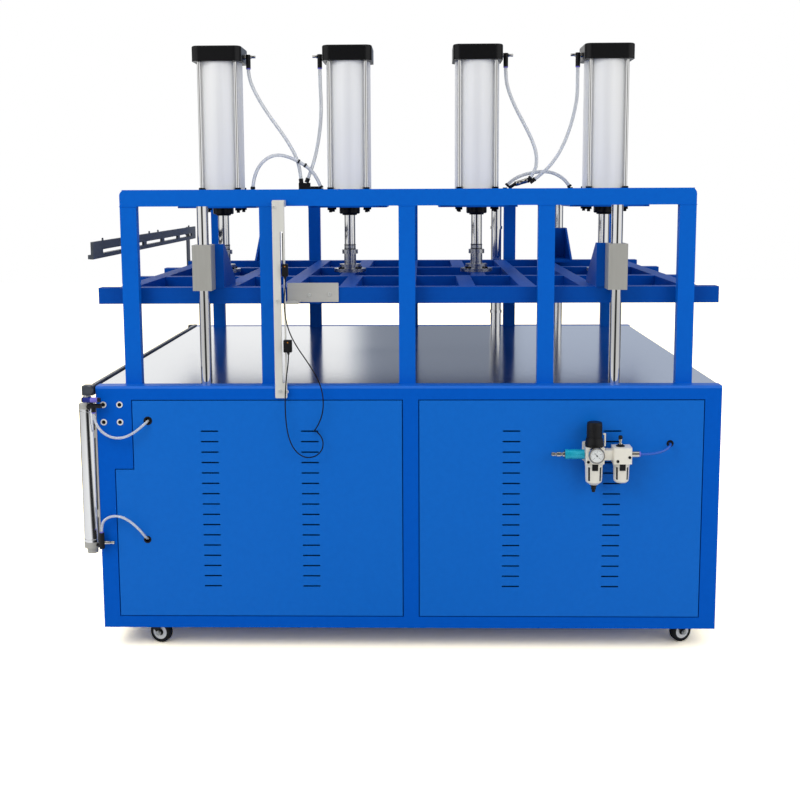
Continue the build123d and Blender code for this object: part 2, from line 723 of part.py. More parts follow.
# Beams from portal to portal: one at each end and one on each inner side of the cylinder plates
BEAM_LENGTH = 2 * PORTAL_Y - PORTAL_DEPTH
BEAMS_X = [UPRIGHTS_X[0], UPRIGHTS_X[-1]]
for cylinder_x in CYLINDERS_X:
    BEAMS_X += [x for x in (cylinder_x - BEAM_OFFSET, cylinder_x + BEAM_OFFSET) if abs(x) < OUTER_BEAM_LIMIT]
with BuildPart() as cylinder_beams:
    with BuildSketch(level(PORTAL_RAIL_BOTTOM)):
        with Locations(*[(x, 0) for x in BEAMS_X]):
            Rectangle(PORTAL_TUBE, BEAM_LENGTH)
    extrude(amount=PORTAL_TUBE)
save(cylinder_beams, "cylinder_beams")

# Cylinder plates, hung under the beams, each bored for the cylinder's nose
with BuildPart() as cylinder_plates:
    with BuildSketch(level(PLATE_BOTTOM)):
        with Locations(*[(x, 0) for x in CYLINDERS_X]):
            RectangleRounded(PLATE_SIDE, PLATE_SIDE, PLATE_CORNER)
            Circle(NOSE_DIAMETER / 2 + NOSE_GAP, mode=Mode.SUBTRACT)
    extrude(amount=PLATE_THICK)
save(cylinder_plates, "cylinder_plates")

# Cylinder barrels: plain tube between the caps
with BuildPart() as cylinder_barrels:
    with BuildSketch(level(LOWER_CAP_TOP)):
        with Locations(*[(x, 0) for x in CYLINDERS_X]):
            Circle(BARREL_DIAMETER / 2)
            Circle(BORE / 2, mode=Mode.SUBTRACT)
    extrude(amount=UPPER_CAP_BOTTOM - LOWER_CAP_TOP)
save(cylinder_barrels, "cylinder_barrels")

# Cylinder caps: the lower ones with a nose and the rod bore, the upper ones with a rounded top edge
with BuildPart() as cylinder_caps:
    with BuildSketch(level(UPPER_CAP_BOTTOM)):
        with Locations(*[(x, 0) for x in CYLINDERS_X]):
            RectangleRounded(CAP_SIDE, CAP_SIDE, CAP_CORNER)
    extrude(amount=UPPER_CAP)
    fillet(cylinder_caps.faces().sort_by(Axis.Z)[-4:].edges(), CAP_EDGE)
    with BuildSketch(level(PORTAL_RAIL_BOTTOM)):
        with Locations(*[(x, 0) for x in CYLINDERS_X]):
            RectangleRounded(CAP_SIDE, CAP_SIDE, CAP_CORNER)
    extrude(amount=LOWER_CAP)
    with BuildSketch(level(PORTAL_RAIL_BOTTOM)):
        with Locations(*[(x, 0) for x in CYLINDERS_X]):
            Circle(NOSE_DIAMETER / 2)
    extrude(amount=-PLATE_THICK - NOSE_LENGTH)
    chamfer(cylinder_caps.faces().sort_by(Axis.Z)[:4].edges(), NOSE_CHAMFER)
    with BuildSketch(level(PLATE_BOTTOM - NOSE_LENGTH)):
        with Locations(*[(x, 0) for x in CYLINDERS_X]):
            Circle(ROD / 2 + ROD_CLEARANCE)
    extrude(amount=NOSE_LENGTH + PLATE_THICK + LOWER_CAP, mode=Mode.SUBTRACT)
save(cylinder_caps, "cylinder_caps")

# Tie rods at the corners of the caps
with BuildPart() as tie_rods:
    with BuildSketch(level(LOWER_CAP_TOP)):
        for cylinder_x in CYLINDERS_X:
            with Locations((cylinder_x, 0)):
                with GridLocations(TIE_ROD_SPACING, TIE_ROD_SPACING, 2, 2):
                    Circle(TIE_ROD / 2)
    extrude(amount=UPPER_CAP_BOTTOM - LOWER_CAP_TOP)
save(tie_rods, "tie_rods")

# Guide columns near the ends of both portals, and a rear post with two clamp rings
GUIDES = [(x, y) for x in GUIDES_X for y in (-PORTAL_Y, PORTAL_Y)]
with BuildPart() as guide_columns:
    with BuildSketch(level(TABLE_TOP)):
        with Locations(*GUIDES):
            Circle(GUIDE_DIAMETER / 2)
        with Locations((REAR_POST_X, PORTAL_Y)):
            Circle(REAR_POST_DIAMETER / 2)
    extrude(amount=PORTAL_RAIL_BOTTOM - TABLE_TOP)
    for height in REAR_POST_RINGS:
        with BuildSketch(level(height - REAR_RING_HEIGHT / 2)):
            with Locations((REAR_POST_X, PORTAL_Y)):
                Circle(REAR_RING_DIAMETER / 2)
        extrude(amount=REAR_RING_HEIGHT)
save(guide_columns, "guide_columns")

# Platen beams, running from end to end
with BuildPart() as platen_beams:
    with BuildSketch(level(PLATEN_TUBE_BOTTOM)):
        with Locations(*[((PLATEN_LEFT + PLATEN_RIGHT) / 2, y) for y in LONG_TUBES_Y]):
            Rectangle(PLATEN_RIGHT - PLATEN_LEFT, PLATEN_WIDE)
    extrude(amount=PLATEN_TUBE)
save(platen_beams, "platen_beams")

# Platen cross tubes between the beams, with a joist under each cylinder in the middle bay
OUTER_BAY = (LONG_TUBES_Y[2] + LONG_TUBES_Y[3]) / 2
OUTER_LENGTH = LONG_TUBES_Y[3] - LONG_TUBES_Y[2] - PLATEN_WIDE
MIDDLE_LENGTH = LONG_TUBES_Y[2] - LONG_TUBES_Y[1] - PLATEN_WIDE
with BuildPart() as platen_cross_tubes:
    with BuildSketch(level(PLATEN_TUBE_BOTTOM)):
        with Locations(*[(x, y) for x in CROSS_TUBES_X for y in (-OUTER_BAY, OUTER_BAY)]):
            Rectangle(PLATEN_WIDE, OUTER_LENGTH)
        with Locations(*[(x, 0) for x in CENTRE_BAY_X + CYLINDERS_X]):
            Rectangle(PLATEN_WIDE, MIDDLE_LENGTH)
    extrude(amount=PLATEN_TUBE)
save(platen_cross_tubes, "platen_cross_tubes")

# Press plate under the tubes
with BuildPart() as press_plate:
    with BuildSketch(level(PLATEN_TUBE_BOTTOM - PRESS_PLATE)):
        with Locations(((PLATEN_LEFT + PLATEN_RIGHT) / 2, 0)):
            Rectangle(PLATEN_RIGHT - PLATEN_LEFT, LONG_TUBES_Y[-1] - LONG_TUBES_Y[0] + PLATEN_WIDE)
    extrude(amount=PRESS_PLATE)
save(press_plate, "press_plate")

# Rod couplings: pad, flange, body and collar, turned to one profile
with BuildPart() as rod_couplings:
    for cylinder_x in CYLINDERS_X:
        with BuildSketch(facing(0)):
            with Locations((cylinder_x, PLATEN_TOP)):
                Polygon(*COUPLING_PROFILE, align=None)
        revolve(axis=Axis((CENTRE_X + cylinder_x, CENTRE_Y, 0), (0, 0, 1)))
save(rod_couplings, "rod_couplings")

# Piston rods with their pistons, from the couplings into the barrels
with BuildPart() as piston_rods:
    with BuildSketch(level(COUPLING_TOP)):
        with Locations(*[(x, 0) for x in CYLINDERS_X]):
            Circle(ROD / 2)
    extrude(amount=PISTON_BOTTOM - COUPLING_TOP)
    with BuildSketch(level(PISTON_BOTTOM)):
        with Locations(*[(x, 0) for x in CYLINDERS_X]):
            Circle(BORE / 2 - PISTON_CLEARANCE)
    extrude(amount=PISTON_THICK)
save(piston_rods, "piston_rods")

# Bearing blocks on the guide columns
BEARING_HEIGHT = BEARING_TOP - BEARING_BOTTOM
with BuildPart() as bearing_blocks:
    with BuildSketch(level(BEARING_BOTTOM)):
        with Locations(*GUIDES):
            Rectangle(BEARING_WIDTH, BEARING_DEPTH)
            Circle(GUIDE_DIAMETER / 2 + GUIDE_CLEARANCE, mode=Mode.SUBTRACT)
    extrude(amount=BEARING_HEIGHT)
    chamfer(bearing_blocks.edges().filter_by(Axis.Z).filter_by(GeomType.LINE), BLOCK_CHAMFER)
save(bearing_blocks, "bearing_blocks")

# Bearing brackets: an upright plate behind each block, a foot on the platen and two gussets
BRACKET_FACE = PORTAL_Y - BEARING_DEPTH / 2
with BuildPart() as bearing_brackets:
    for side in (GUIDES_X[0] + BRACKET_SHIFT, GUIDES_X[1] - BRACKET_SHIFT):
        for end in (-1, 1):
            root = end * (BRACKET_FACE - BRACKET_PLATE)
            tip = root - end * GUSSET_LENGTH
            with BuildSketch(level(PLATEN_TOP)):
                with Locations((side, end * (BRACKET_FACE - BRACKET_PLATE / 2))):
                    Rectangle(BRACKET_WIDTH, BRACKET_PLATE)
            extrude(amount=BEARING_TOP - PLATEN_TOP)
            with BuildSketch(level(PLATEN_TOP)):
                with Locations((side, (root + tip) / 2)):
                    Rectangle(BRACKET_WIDTH, GUSSET_LENGTH)
            extrude(amount=GUSSET)
            for offset_x in (side - BRACKET_WIDTH / 2, side + BRACKET_WIDTH / 2 - GUSSET):
                with BuildSketch(across(offset_x)):
                    with BuildLine():
                        Polyline(
                            (root, PLATEN_TOP),
                            (tip, PLATEN_TOP),
                            (tip, PLATEN_TOP + GUSSET_TIP),
                            (root - end * GUSSET_TIP, BEARING_TOP),
                            (root, BEARING_TOP),
                            close=True,
                        )
                    make_face()
                extrude(amount=GUSSET)
save(bearing_brackets, "bearing_brackets")

# Switch arm: an angle on the front beam, its lower leg turned out towards the sensors
with BuildPart() as switch_arm:
    with BuildSketch(facing(LONG_TUBES_Y[0] - PLATEN_WIDE / 2)):
        with Locations(((ARM_LEFT + ARM_RIGHT) / 2, (ARM_BOTTOM + ARM_TOP) / 2)):
            RectangleRounded(ARM_RIGHT - ARM_LEFT, ARM_TOP - ARM_BOTTOM, ARM_SHEET / 2)
    extrude(amount=ARM_SHEET)
    with BuildSketch(level(ARM_BOTTOM)):
        with Locations(((ARM_LEFT + ARM_FLAG_RIGHT) / 2, LONG_TUBES_Y[0] - PLATEN_WIDE / 2 - ARM_REACH / 2)):
            Rectangle(ARM_FLAG_RIGHT - ARM_LEFT, ARM_REACH)
    extrude(amount=ARM_SHEET)
save(switch_arm, "switch_arm")

# Sensor bar: an upright slotted flat over the table's edge, with spacers to the portal behind it
with BuildPart() as sensor_bar:
    with BuildSketch(facing(FRONT)):
        with Locations((SENSOR_BAR_X, (SENSOR_BAR_BOTTOM + SENSOR_BAR_TOP) / 2)):
            RectangleRounded(SENSOR_BAR_WIDTH, SENSOR_BAR_TOP - SENSOR_BAR_BOTTOM, SENSOR_BAR_CORNER)
        with Locations((SENSOR_BAR_X + SENSOR_SLOT_OFFSET, (SENSOR_SLOT_BOTTOM + SENSOR_SLOT_TOP) / 2)):
            SlotOverall(SENSOR_SLOT_TOP - SENSOR_SLOT_BOTTOM, SENSOR_SLOT, rotation=90, mode=Mode.SUBTRACT)
    extrude(amount=SENSOR_BAR_SHEET)
    with BuildSketch(facing(FRONT)):
        for left, right, height in SENSOR_SPACERS:
            with Locations(((left + right) / 2, height)):
                Rectangle(right - left, SPACER_HEIGHT)
    extrude(amount=FRONT + PORTAL_Y + PORTAL_DEPTH / 2)
save(sensor_bar, "sensor_bar")

# Position sensors, clamped to the face of the sensor bar
with BuildPart() as position_sensors:
    for left, right, bottom, top, depth in SENSORS:
        with BuildSketch(facing(FRONT - SENSOR_BAR_SHEET)):
            with Locations(((left + right) / 2, (bottom + top) / 2)):
                RectangleRounded(right - left, top - bottom, SENSOR_EDGE)
        extrude(amount=depth)
save(position_sensors, "position_sensors")

# Upper sealing bar: a flat with a row of windows over a square foot, at the left end of the platen
UPPER_BAR_LENGTH = UPPER_BAR_BACK - UPPER_BAR_FRONT
UPPER_BAR_MIDDLE = (UPPER_BAR_BACK + UPPER_BAR_FRONT) / 2
with BuildPart() as upper_seal_bar:
    with BuildSketch(across(UPPER_BAR_FACE)):
        with Locations((UPPER_BAR_MIDDLE, (UPPER_BAR_BOTTOM + UPPER_BAR_TOP) / 2)):
            RectangleRounded(UPPER_BAR_LENGTH, UPPER_BAR_TOP - UPPER_BAR_BOTTOM, UPPER_BAR_CORNER)
        with Locations((WINDOW_MIDDLE, UPPER_BAR_BOTTOM + UPPER_FOOT_HEIGHT + WINDOW_HEIGHT / 2)):
            with GridLocations(WINDOW_PITCH, 0, WINDOW_COUNT, 1):
                RectangleRounded(WINDOW_LENGTH, WINDOW_HEIGHT, WINDOW_CORNER, mode=Mode.SUBTRACT)
    extrude(amount=-UPPER_BAR_SHEET)
    with BuildSketch(across(UPPER_BAR_FACE - UPPER_BAR_SHEET)):
        with Locations((UPPER_BAR_MIDDLE, UPPER_BAR_BOTTOM + UPPER_FOOT_HEIGHT / 2)):
            RectangleRounded(UPPER_BAR_LENGTH, UPPER_FOOT_HEIGHT, UPPER_BAR_CORNER)
    extrude(amount=UPPER_FOOT_LEFT - UPPER_BAR_FACE + UPPER_BAR_SHEET)
save(upper_seal_bar, "upper_seal_bar")

# Hangers from the ends of the platen's beams up to the upper sealing bar
with BuildPart() as seal_bar_hangers:
    for y in HANGERS_Y:
        with BuildSketch(across(PLATEN_LEFT - HANGER_SHEET)):
            with Locations((y, (PLATEN_TUBE_BOTTOM + UPPER_BAR_TOP) / 2)):
                Rectangle(PLATEN_WIDE, UPPER_BAR_TOP - PLATEN_TUBE_BOTTOM)
        extrude(amount=HANGER_SHEET)
save(seal_bar_hangers, "seal_bar_hangers")

# Lower sealing bar, with a block over each lifting rod and a round boss on the block
LOWER_BAR_MIDDLE = LOWER_BAR_TOP - LOWER_BAR_HEIGHT / 2
BLOCK_RIGHT = LOWER_BAR_X + LOWER_BAR_WIDTH / 2
with BuildPart() as lower_seal_bar:
    with BuildSketch(facing(-LOWER_BAR_HALF)):
        with Locations((LOWER_BAR_X, LOWER_BAR_MIDDLE)):
            RectangleRounded(LOWER_BAR_WIDTH, LOWER_BAR_HEIGHT, LOWER_BAR_CORNER)
    extrude(amount=-2 * LOWER_BAR_HALF)
    for end in (facing(-LOWER_BAR_HALF), facing_back(LOWER_BAR_HALF)):
        mirrored = end.x_dir.X
        with BuildSketch(end):
            with Locations((mirrored * (END_BLOCK_LEFT + BLOCK_RIGHT) / 2, LOWER_BAR_MIDDLE)):
                RectangleRounded(BLOCK_RIGHT - END_BLOCK_LEFT, LOWER_BAR_HEIGHT, LOWER_BAR_CORNER)
        extrude(amount=-END_BLOCK_LENGTH)
        with BuildSketch(end):
            with Locations((mirrored * END_BOSS_X, LOWER_BAR_TOP - END_BOSS / 2)):
                Circle(END_BOSS / 2)
        extrude(amount=END_BOSS_LENGTH)
save(lower_seal_bar, "lower_seal_bar")

# Rods and pistons that lift the lower sealing bar
with BuildPart() as seal_cylinder_rods:
    with BuildSketch(level(SEAL_PISTON_BOTTOM)):
        with Locations((SEAL_CYLINDER_X, -SEAL_CYLINDER_Y), (SEAL_CYLINDER_X, SEAL_CYLINDER_Y)):
            Circle(SEAL_ROD / 2)
    extrude(amount=LOWER_BAR_TOP - LOWER_BAR_HEIGHT - SEAL_PISTON_BOTTOM)
    with BuildSketch(level(SEAL_PISTON_BOTTOM)):
        with Locations((SEAL_CYLINDER_X, -SEAL_CYLINDER_Y), (SEAL_CYLINDER_X, SEAL_CYLINDER_Y)):
            Circle(SEAL_BORE / 2 - PISTON_CLEARANCE)
    extrude(amount=SEAL_PISTON)
save(seal_cylinder_rods, "seal_cylinder_rods")

# Side cylinder barrels: thin polished tube
with BuildPart() as seal_cylinder_barrels:
    with BuildSketch(level(SEAL_BARREL_BOTTOM)):
        with Locations((SEAL_CYLINDER_X, -SEAL_CYLINDER_Y), (SEAL_CYLINDER_X, SEAL_CYLINDER_Y)):
            Circle(SEAL_BARREL / 2)
            Circle(SEAL_BORE / 2, mode=Mode.SUBTRACT)
    extrude(amount=SEAL_BARREL_TOP - SEAL_BARREL_BOTTOM)
save(seal_cylinder_barrels, "seal_cylinder_barrels")

# Side cylinder end caps: the upper one bored for the rod, the lower one with a threaded nose
with BuildPart() as seal_cylinder_caps:
    for y in (-SEAL_CYLINDER_Y, SEAL_CYLINDER_Y):
        with BuildSketch(level(SEAL_BARREL_TOP)):
            with Locations((SEAL_CYLINDER_X, y)):
                Circle(SEAL_CAP / 2)
                Circle(SEAL_ROD / 2 + ROD_CLEARANCE, mode=Mode.SUBTRACT)
        extrude(amount=SEAL_TOP_CAP_HEIGHT)
        with BuildSketch(level(SEAL_BARREL_BOTTOM)):
            with Locations((SEAL_CYLINDER_X, y)):
                Circle(SEAL_CAP / 2)
        extrude(amount=-SEAL_CAP_HEIGHT)
        with BuildSketch(level(SEAL_BARREL_BOTTOM - SEAL_CAP_HEIGHT)):
            with Locations((SEAL_CYLINDER_X, y)):
                Circle(SEAL_NOSE / 2)
        extrude(amount=-SEAL_NOSE_HEIGHT)
    for x, y, z in (UPPER_PORT, LOWER_PORT):
        axis_point = placed((SEAL_CYLINDER_X, -SEAL_CYLINDER_Y, z))
        spot = Plane(origin=axis_point, z_dir=placed((x, y, z)) - axis_point).offset(PORT_SPOT_REACH)
        with BuildSketch(spot):
            Circle(PORT_SPOT / 2)
        extrude(amount=SEAL_CAP, mode=Mode.SUBTRACT)
save(seal_cylinder_caps, "seal_cylinder_caps")

# Side cylinder mounts: a strip on the cabinet's side with two saddle blocks
with BuildPart() as seal_cylinder_mounts:
    for y in (-SEAL_CYLINDER_Y, SEAL_CYLINDER_Y):
        with BuildSketch(level(SEAL_BARREL_BOTTOM)):
            with Locations(((-CABINET_WIDTH / 2 - SEAL_STRIP / 2), y)):
                Rectangle(SEAL_STRIP, SEAL_STRIP_WIDTH)
        extrude(amount=SEAL_BARREL_TOP - SEAL_BARREL_BOTTOM)
        for height in SADDLES:
            with BuildSketch(level(height)):
                with Locations(((SEAL_CYLINDER_X + SADDLE_INSET - CABINET_WIDTH / 2) / 2, y)):
                    Rectangle(-CABINET_WIDTH / 2 - SEAL_CYLINDER_X - SADDLE_INSET, SEAL_STRIP_WIDTH)
                with Locations((SEAL_CYLINDER_X, y)):
                    Circle(SEAL_BARREL / 2, mode=Mode.SUBTRACT)
            extrude(amount=SADDLE_HEIGHT)
save(seal_cylinder_mounts, "seal_cylinder_mounts")

# Regulator and lubricator bodies, the link between them and the bracket to the panel
with BuildPart() as air_unit_body:
    with BuildSketch(level(UNIT_BOTTOM)):
        with Locations((REGULATOR_X, AIR_UNIT_Y), (LUBRICATOR_X, AIR_UNIT_Y)):
            RectangleRounded(UNIT_WIDTH, UNIT_DEPTH, UNIT_CORNER)
    extrude(amount=UNIT_TOP - UNIT_BOTTOM)
    with BuildSketch(across(REGULATOR_X)):
        with Locations((AIR_UNIT_Y, UNIT_LINE)):
            Rectangle(LINK_DEPTH, LINK_HEIGHT)
    extrude(amount=LUBRICATOR_X - REGULATOR_X)
    with BuildSketch(level(UNIT_TOP)):
        with Locations((REGULATOR_X, AIR_UNIT_Y)):
            Circle(BONNET / 2)
    extrude(amount=BONNET_HEIGHT)
    with BuildSketch(facing(FRONT)):
        with Locations((REGULATOR_X, UNIT_LINE)):
            RectangleRounded(UNIT_BRACKET_WIDTH, UNIT_BRACKET_HEIGHT, UNIT_CORNER)
    extrude(amount=UNIT_BRACKET_SHEET)
    with BuildSketch(facing(FRONT)):
        with Locations((REGULATOR_X, UNIT_LINE)):
            Rectangle(UNIT_BRACKET_NECK, UNIT_BRACKET_NECK)
    extrude(amount=AIR_UNIT_REACH - UNIT_DEPTH / 2)
save(air_unit_body, "air_unit_body")

# Bowls under the regulator and the lubricator, and the lubricator's sight dome
with BuildPart() as air_unit_bowls:
    with BuildSketch(level(UNIT_TOP)):
        with Locations((LUBRICATOR_X, AIR_UNIT_Y)):
            Circle(SIGHT_DOME / 2)
    extrude(amount=SIGHT_DOME_HEIGHT)
    fillet(air_unit_bowls.faces().sort_by(Axis.Z)[-1].edges(), SIGHT_DOME_EDGE)
    for x, diameter in ((REGULATOR_X, BOWL_LEFT), (LUBRICATOR_X, BOWL_RIGHT)):
        with BuildSketch(level(UNIT_BOTTOM)):
            with Locations((x, AIR_UNIT_Y)):
                Circle(diameter / 2)
        extrude(amount=BOWL_BOTTOM - UNIT_BOTTOM, taper=BOWL_TAPER)
        with BuildSketch(level(BOWL_BOTTOM)):
            with Locations((x, AIR_UNIT_Y)):
                Circle(DRAIN / 2)
        extrude(amount=DRAIN_BOTTOM - BOWL_BOTTOM)
save(air_unit_bowls, "air_unit_bowls")

# Regulator knob
with BuildPart() as regulator_knob:
    with BuildSketch(level(KNOB_BOTTOM)):
        with Locations((REGULATOR_X, AIR_UNIT_Y)):
            Circle(KNOB / 2)
    extrude(amount=KNOB_TOP - KNOB_BOTTOM)
    fillet(regulator_knob.faces().sort_by(Axis.Z)[-1].edges(), KNOB_EDGE)
save(regulator_knob, "regulator_knob")

# Pressure gauge on the front of the regulator
GAUGE_BACK = AIR_UNIT_Y - UNIT_DEPTH / 2
with BuildPart() as pressure_gauge:
    with BuildSketch(facing(GAUGE_BACK)):
        with Locations((REGULATOR_X, GAUGE_Z)):
            Circle(GAUGE_STEM / 2)
    extrude(amount=GAUGE_STEM_LENGTH)
    with BuildSketch(facing(GAUGE_BACK - GAUGE_STEM_LENGTH)):
        with Locations((REGULATOR_X, GAUGE_Z)):
            Circle(GAUGE / 2)
    extrude(amount=GAUGE_DEPTH)
save(pressure_gauge, "pressure_gauge")

# Inlet coupling on the left of the regulator and outlet nipple on the right of the lubricator
with BuildPart() as air_unit_couplings:
    for start, length, diameter in COUPLINGS:
        with BuildSketch(across(start)):
            with Locations((AIR_UNIT_Y, UNIT_LINE)):
                Circle(diameter / 2)
        extrude(amount=length)
save(air_unit_couplings, "air_unit_couplings")

# Air fittings: elbows at the upper caps, tees and sockets on the beams, valves at the front side cylinder
with BuildPart() as air_fittings:
    for cylinder_x, hose in zip(CYLINDERS_X, CYLINDER_HOSES):
        leg_x, leg_y = hose[0][:2]
        outward = math.copysign(1, leg_x - cylinder_x)
        port = (cylinder_x + outward * CAP_SIDE / 2, leg_y, ELBOW_PORT_Z)
        crossing = (leg_x, leg_y, ELBOW_PORT_Z)
        round_bar(hose[0], (leg_x, leg_y, ELBOW_TOP), ELBOW)
        round_bar(port, crossing, ELBOW_PORT)
        round_bar(crossing, (leg_x + outward * ELBOW_SCREW_REACH, leg_y, ELBOW_PORT_Z), ELBOW_SCREW)
    for hose in (LEFT_LINK_HOSE, RIGHT_LINK_HOSE):
        socket(hose[0], hose[1], LINK_SOCKET, LINK_SOCKET_LENGTH)
        socket(hose[-1], hose[-2], LINK_SOCKET, LINK_SOCKET_LENGTH)
    with BuildSketch(level(PORTAL_TOP)):
        with Locations(*LINK_STEMS):
            Circle(LINK_STEM / 2)
    extrude(amount=LINK_STEM_HEIGHT)
    for left, right, bottom, top in (LEFT_TEE_FOOT, LEFT_TEE_BLOCK):
        with BuildSketch(facing(-TEE_DEPTH / 2)):
            with Locations(((left + right) / 2, (bottom + top) / 2)):
                Rectangle(right - left, top - bottom)
        extrude(amount=-TEE_DEPTH)
    for hose in CYLINDER_HOSES[:2]:
        socket(hose[-1], hose[-2], TEE_SOCKET, TEE_SOCKET_LENGTH)
    for start, end, diameter in RIGHT_TEE + SIDE_FITTINGS:
        round_bar(start, end, diameter)
    for hose in CYLINDER_HOSES[2:]:
        socket(hose[-1], hose[-2], RIGHT_SOCKET, RIGHT_SOCKET_LENGTH)
    for x, y, z in (UPPER_PORT, LOWER_PORT):
        reach = Vector(x - SEAL_CYLINDER_X, y + SEAL_CYLINDER_Y, 0)
        seat = Vector(SEAL_CYLINDER_X, -SEAL_CYLINDER_Y, z) + reach.normalized() * PORT_SPOT_REACH
        round_bar(tuple(seat), (x, y, z), PORT)
save(air_fittings, "air_fittings")

# Air hoses and sensor cables
for number, hose in enumerate(CYLINDER_HOSES, start=1):
    cord(hose, HOSE, f"cylinder_{number}_hose")
cord(LEFT_LINK_HOSE, HOSE, "left_link_hose")
cord(RIGHT_LINK_HOSE, HOSE, "right_link_hose")
cord(SIDE_UPPER_HOSE, THIN_HOSE, "side_cylinder_upper_hose")
cord(SIDE_LOWER_HOSE, THIN_HOSE, "side_cylinder_lower_hose")
cord(OUTLET_HOSE, THIN_HOSE, "outlet_hose")
cord(UPPER_SENSOR_CABLE, CABLE, "upper_sensor_cable")
cord(LOWER_SENSOR_CABLE, CABLE, "lower_sensor_cable")

# Caster plates, bolted under the cabinet floor
with BuildPart() as caster_plates:
    with BuildSketch(level(FLOOR_HEIGHT - CASTER_PLATE)):
        with Locations(*[(x, y) for x, y, heading in CASTERS]):
            RectangleRounded(CASTER_PLATE_LENGTH, CASTER_PLATE_WIDTH, CASTER_PLATE_CORNER)
    extrude(amount=CASTER_PLATE)
save(caster_plates, "caster_plates")

# Caster forks and wheels, each pair standing at its own heading
AXLE_Z = WHEEL_DIAMETER / 2
CROWN = FLOOR_HEIGHT - CASTER_PLATE - CASTER_RACE_HEIGHT
for number, (x, y, heading) in enumerate(CASTERS, start=1):
    swivel = Plane(placed((x, y, 0))).rotated((0, 0, heading))
    side_view = Plane(swivel.origin, x_dir=swivel.x_dir, z_dir=-swivel.y_dir)
    with BuildPart() as caster_fork:
        with BuildSketch(swivel.offset(CROWN)):
            Circle(CASTER_RACE / 2)
        extrude(amount=CASTER_RACE_HEIGHT)
        with BuildSketch(swivel.offset(CROWN)):
            Rectangle(CASTER_RACE, FORK_WIDTH)
        extrude(amount=-FORK_SHEET)
        for side in (-FORK_WIDTH / 2, FORK_WIDTH / 2 - FORK_SHEET):
            with BuildSketch(side_view.offset(side)):
                with BuildLine():
                    Polyline(
                        (-CASTER_RACE / 2, CROWN),
                        (CASTER_RACE / 2, CROWN),
                        (CASTER_TRAIL + FORK_NOSE, AXLE_Z),
                        (CASTER_TRAIL, AXLE_Z - FORK_NOSE),
                        (CASTER_TRAIL - FORK_NOSE, AXLE_Z),
                        close=True,
                    )
                make_face()
                with Locations((CASTER_TRAIL, AXLE_Z)):
                    Circle(FORK_NOSE)
            extrude(amount=FORK_SHEET)
        with BuildSketch(side_view.offset(-FORK_WIDTH / 2)):
            with Locations((CASTER_TRAIL, AXLE_Z)):
                Circle(AXLE / 2)
        extrude(amount=FORK_WIDTH)
    save(caster_fork, f"caster_fork_{number}")
    with BuildPart() as caster_wheel:
        with BuildSketch(side_view.offset(-WHEEL_WIDTH / 2)):
            with Locations((CASTER_TRAIL, AXLE_Z)):
                Circle(WHEEL_DIAMETER / 2)
        extrude(amount=WHEEL_WIDTH)
        fillet(caster_wheel.edges().filter_by(GeomType.CIRCLE), WHEEL_ROUND)
        for face in (side_view.offset(WHEEL_WIDTH / 2), side_view.offset(RIM_RECESS - WHEEL_WIDTH / 2)):
            with BuildSketch(face):
                with Locations((CASTER_TRAIL, AXLE_Z)):
                    Circle(RIM_OUTER)
                    Circle(RIM_INNER, mode=Mode.SUBTRACT)
            extrude(amount=-RIM_RECESS, mode=Mode.SUBTRACT)
        with BuildSketch(side_view.offset(-WHEEL_WIDTH / 2)):
            with Locations((CASTER_TRAIL, AXLE_Z)):
                Circle(AXLE / 2 + AXLE_CLEARANCE)
        extrude(amount=WHEEL_WIDTH, mode=Mode.SUBTRACT)
    save(caster_wheel, f"caster_wheel_{number}")
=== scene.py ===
"""Compression packing machine, dressed for its picture.

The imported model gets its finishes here, and over it come its fastenings, hoses and fittings. Metres, in the
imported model's own frame. Sizes and places of pieces are written in millimetres from the cabinet's middle.
"""

import math

import bmesh
import bpy
import numpy as np
from mathutils import Matrix, Vector


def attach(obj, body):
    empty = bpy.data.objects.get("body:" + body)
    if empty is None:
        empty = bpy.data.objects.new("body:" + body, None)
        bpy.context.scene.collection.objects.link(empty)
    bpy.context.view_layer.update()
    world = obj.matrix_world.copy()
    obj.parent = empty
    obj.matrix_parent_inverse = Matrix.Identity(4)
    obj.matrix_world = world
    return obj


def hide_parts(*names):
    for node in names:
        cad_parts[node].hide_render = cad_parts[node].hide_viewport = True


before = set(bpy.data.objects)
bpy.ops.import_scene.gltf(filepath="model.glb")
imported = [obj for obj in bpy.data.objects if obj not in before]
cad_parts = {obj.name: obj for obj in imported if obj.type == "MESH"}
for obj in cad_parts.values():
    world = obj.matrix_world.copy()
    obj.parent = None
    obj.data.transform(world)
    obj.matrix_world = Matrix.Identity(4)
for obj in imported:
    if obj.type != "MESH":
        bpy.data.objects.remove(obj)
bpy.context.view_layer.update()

# Camera: stands over three metres in front of the machine, as high as the portals, and looks slightly down
# and left. Its frame is shifted so that the machine sits above the middle of the picture.
EYE = Vector((0.0751, -4.2602, 1.425))
LOOK_LEFT = math.radians(1.18)
LOOK_DOWN = math.radians(7.58)
TILT = math.radians(0.26)
level_forward = Vector((-math.sin(LOOK_LEFT), math.cos(LOOK_LEFT), 0.0))
forward = level_forward * math.cos(LOOK_DOWN) - Vector((0.0, 0.0, math.sin(LOOK_DOWN)))
level_right = Vector((math.cos(LOOK_LEFT), math.sin(LOOK_LEFT), 0.0))
level_up = level_right.cross(forward)
camera_right = level_right * math.cos(TILT) - level_up * math.sin(TILT)
camera_up = level_up * math.cos(TILT) + level_right * math.sin(TILT)
turned_to = Matrix((camera_right, camera_up, -forward)).transposed().to_4x4()
camera = bpy.data.objects.new("camera", bpy.data.cameras.new("camera"))
camera.data.sensor_width = 36.0
camera.data.lens = 52.49
camera.data.shift_y = -0.067
camera.data.clip_end = 60.0
camera.matrix_world = Matrix.Translation(EYE) @ turned_to
bpy.context.scene.collection.objects.link(camera)
bpy.context.scene.camera = camera

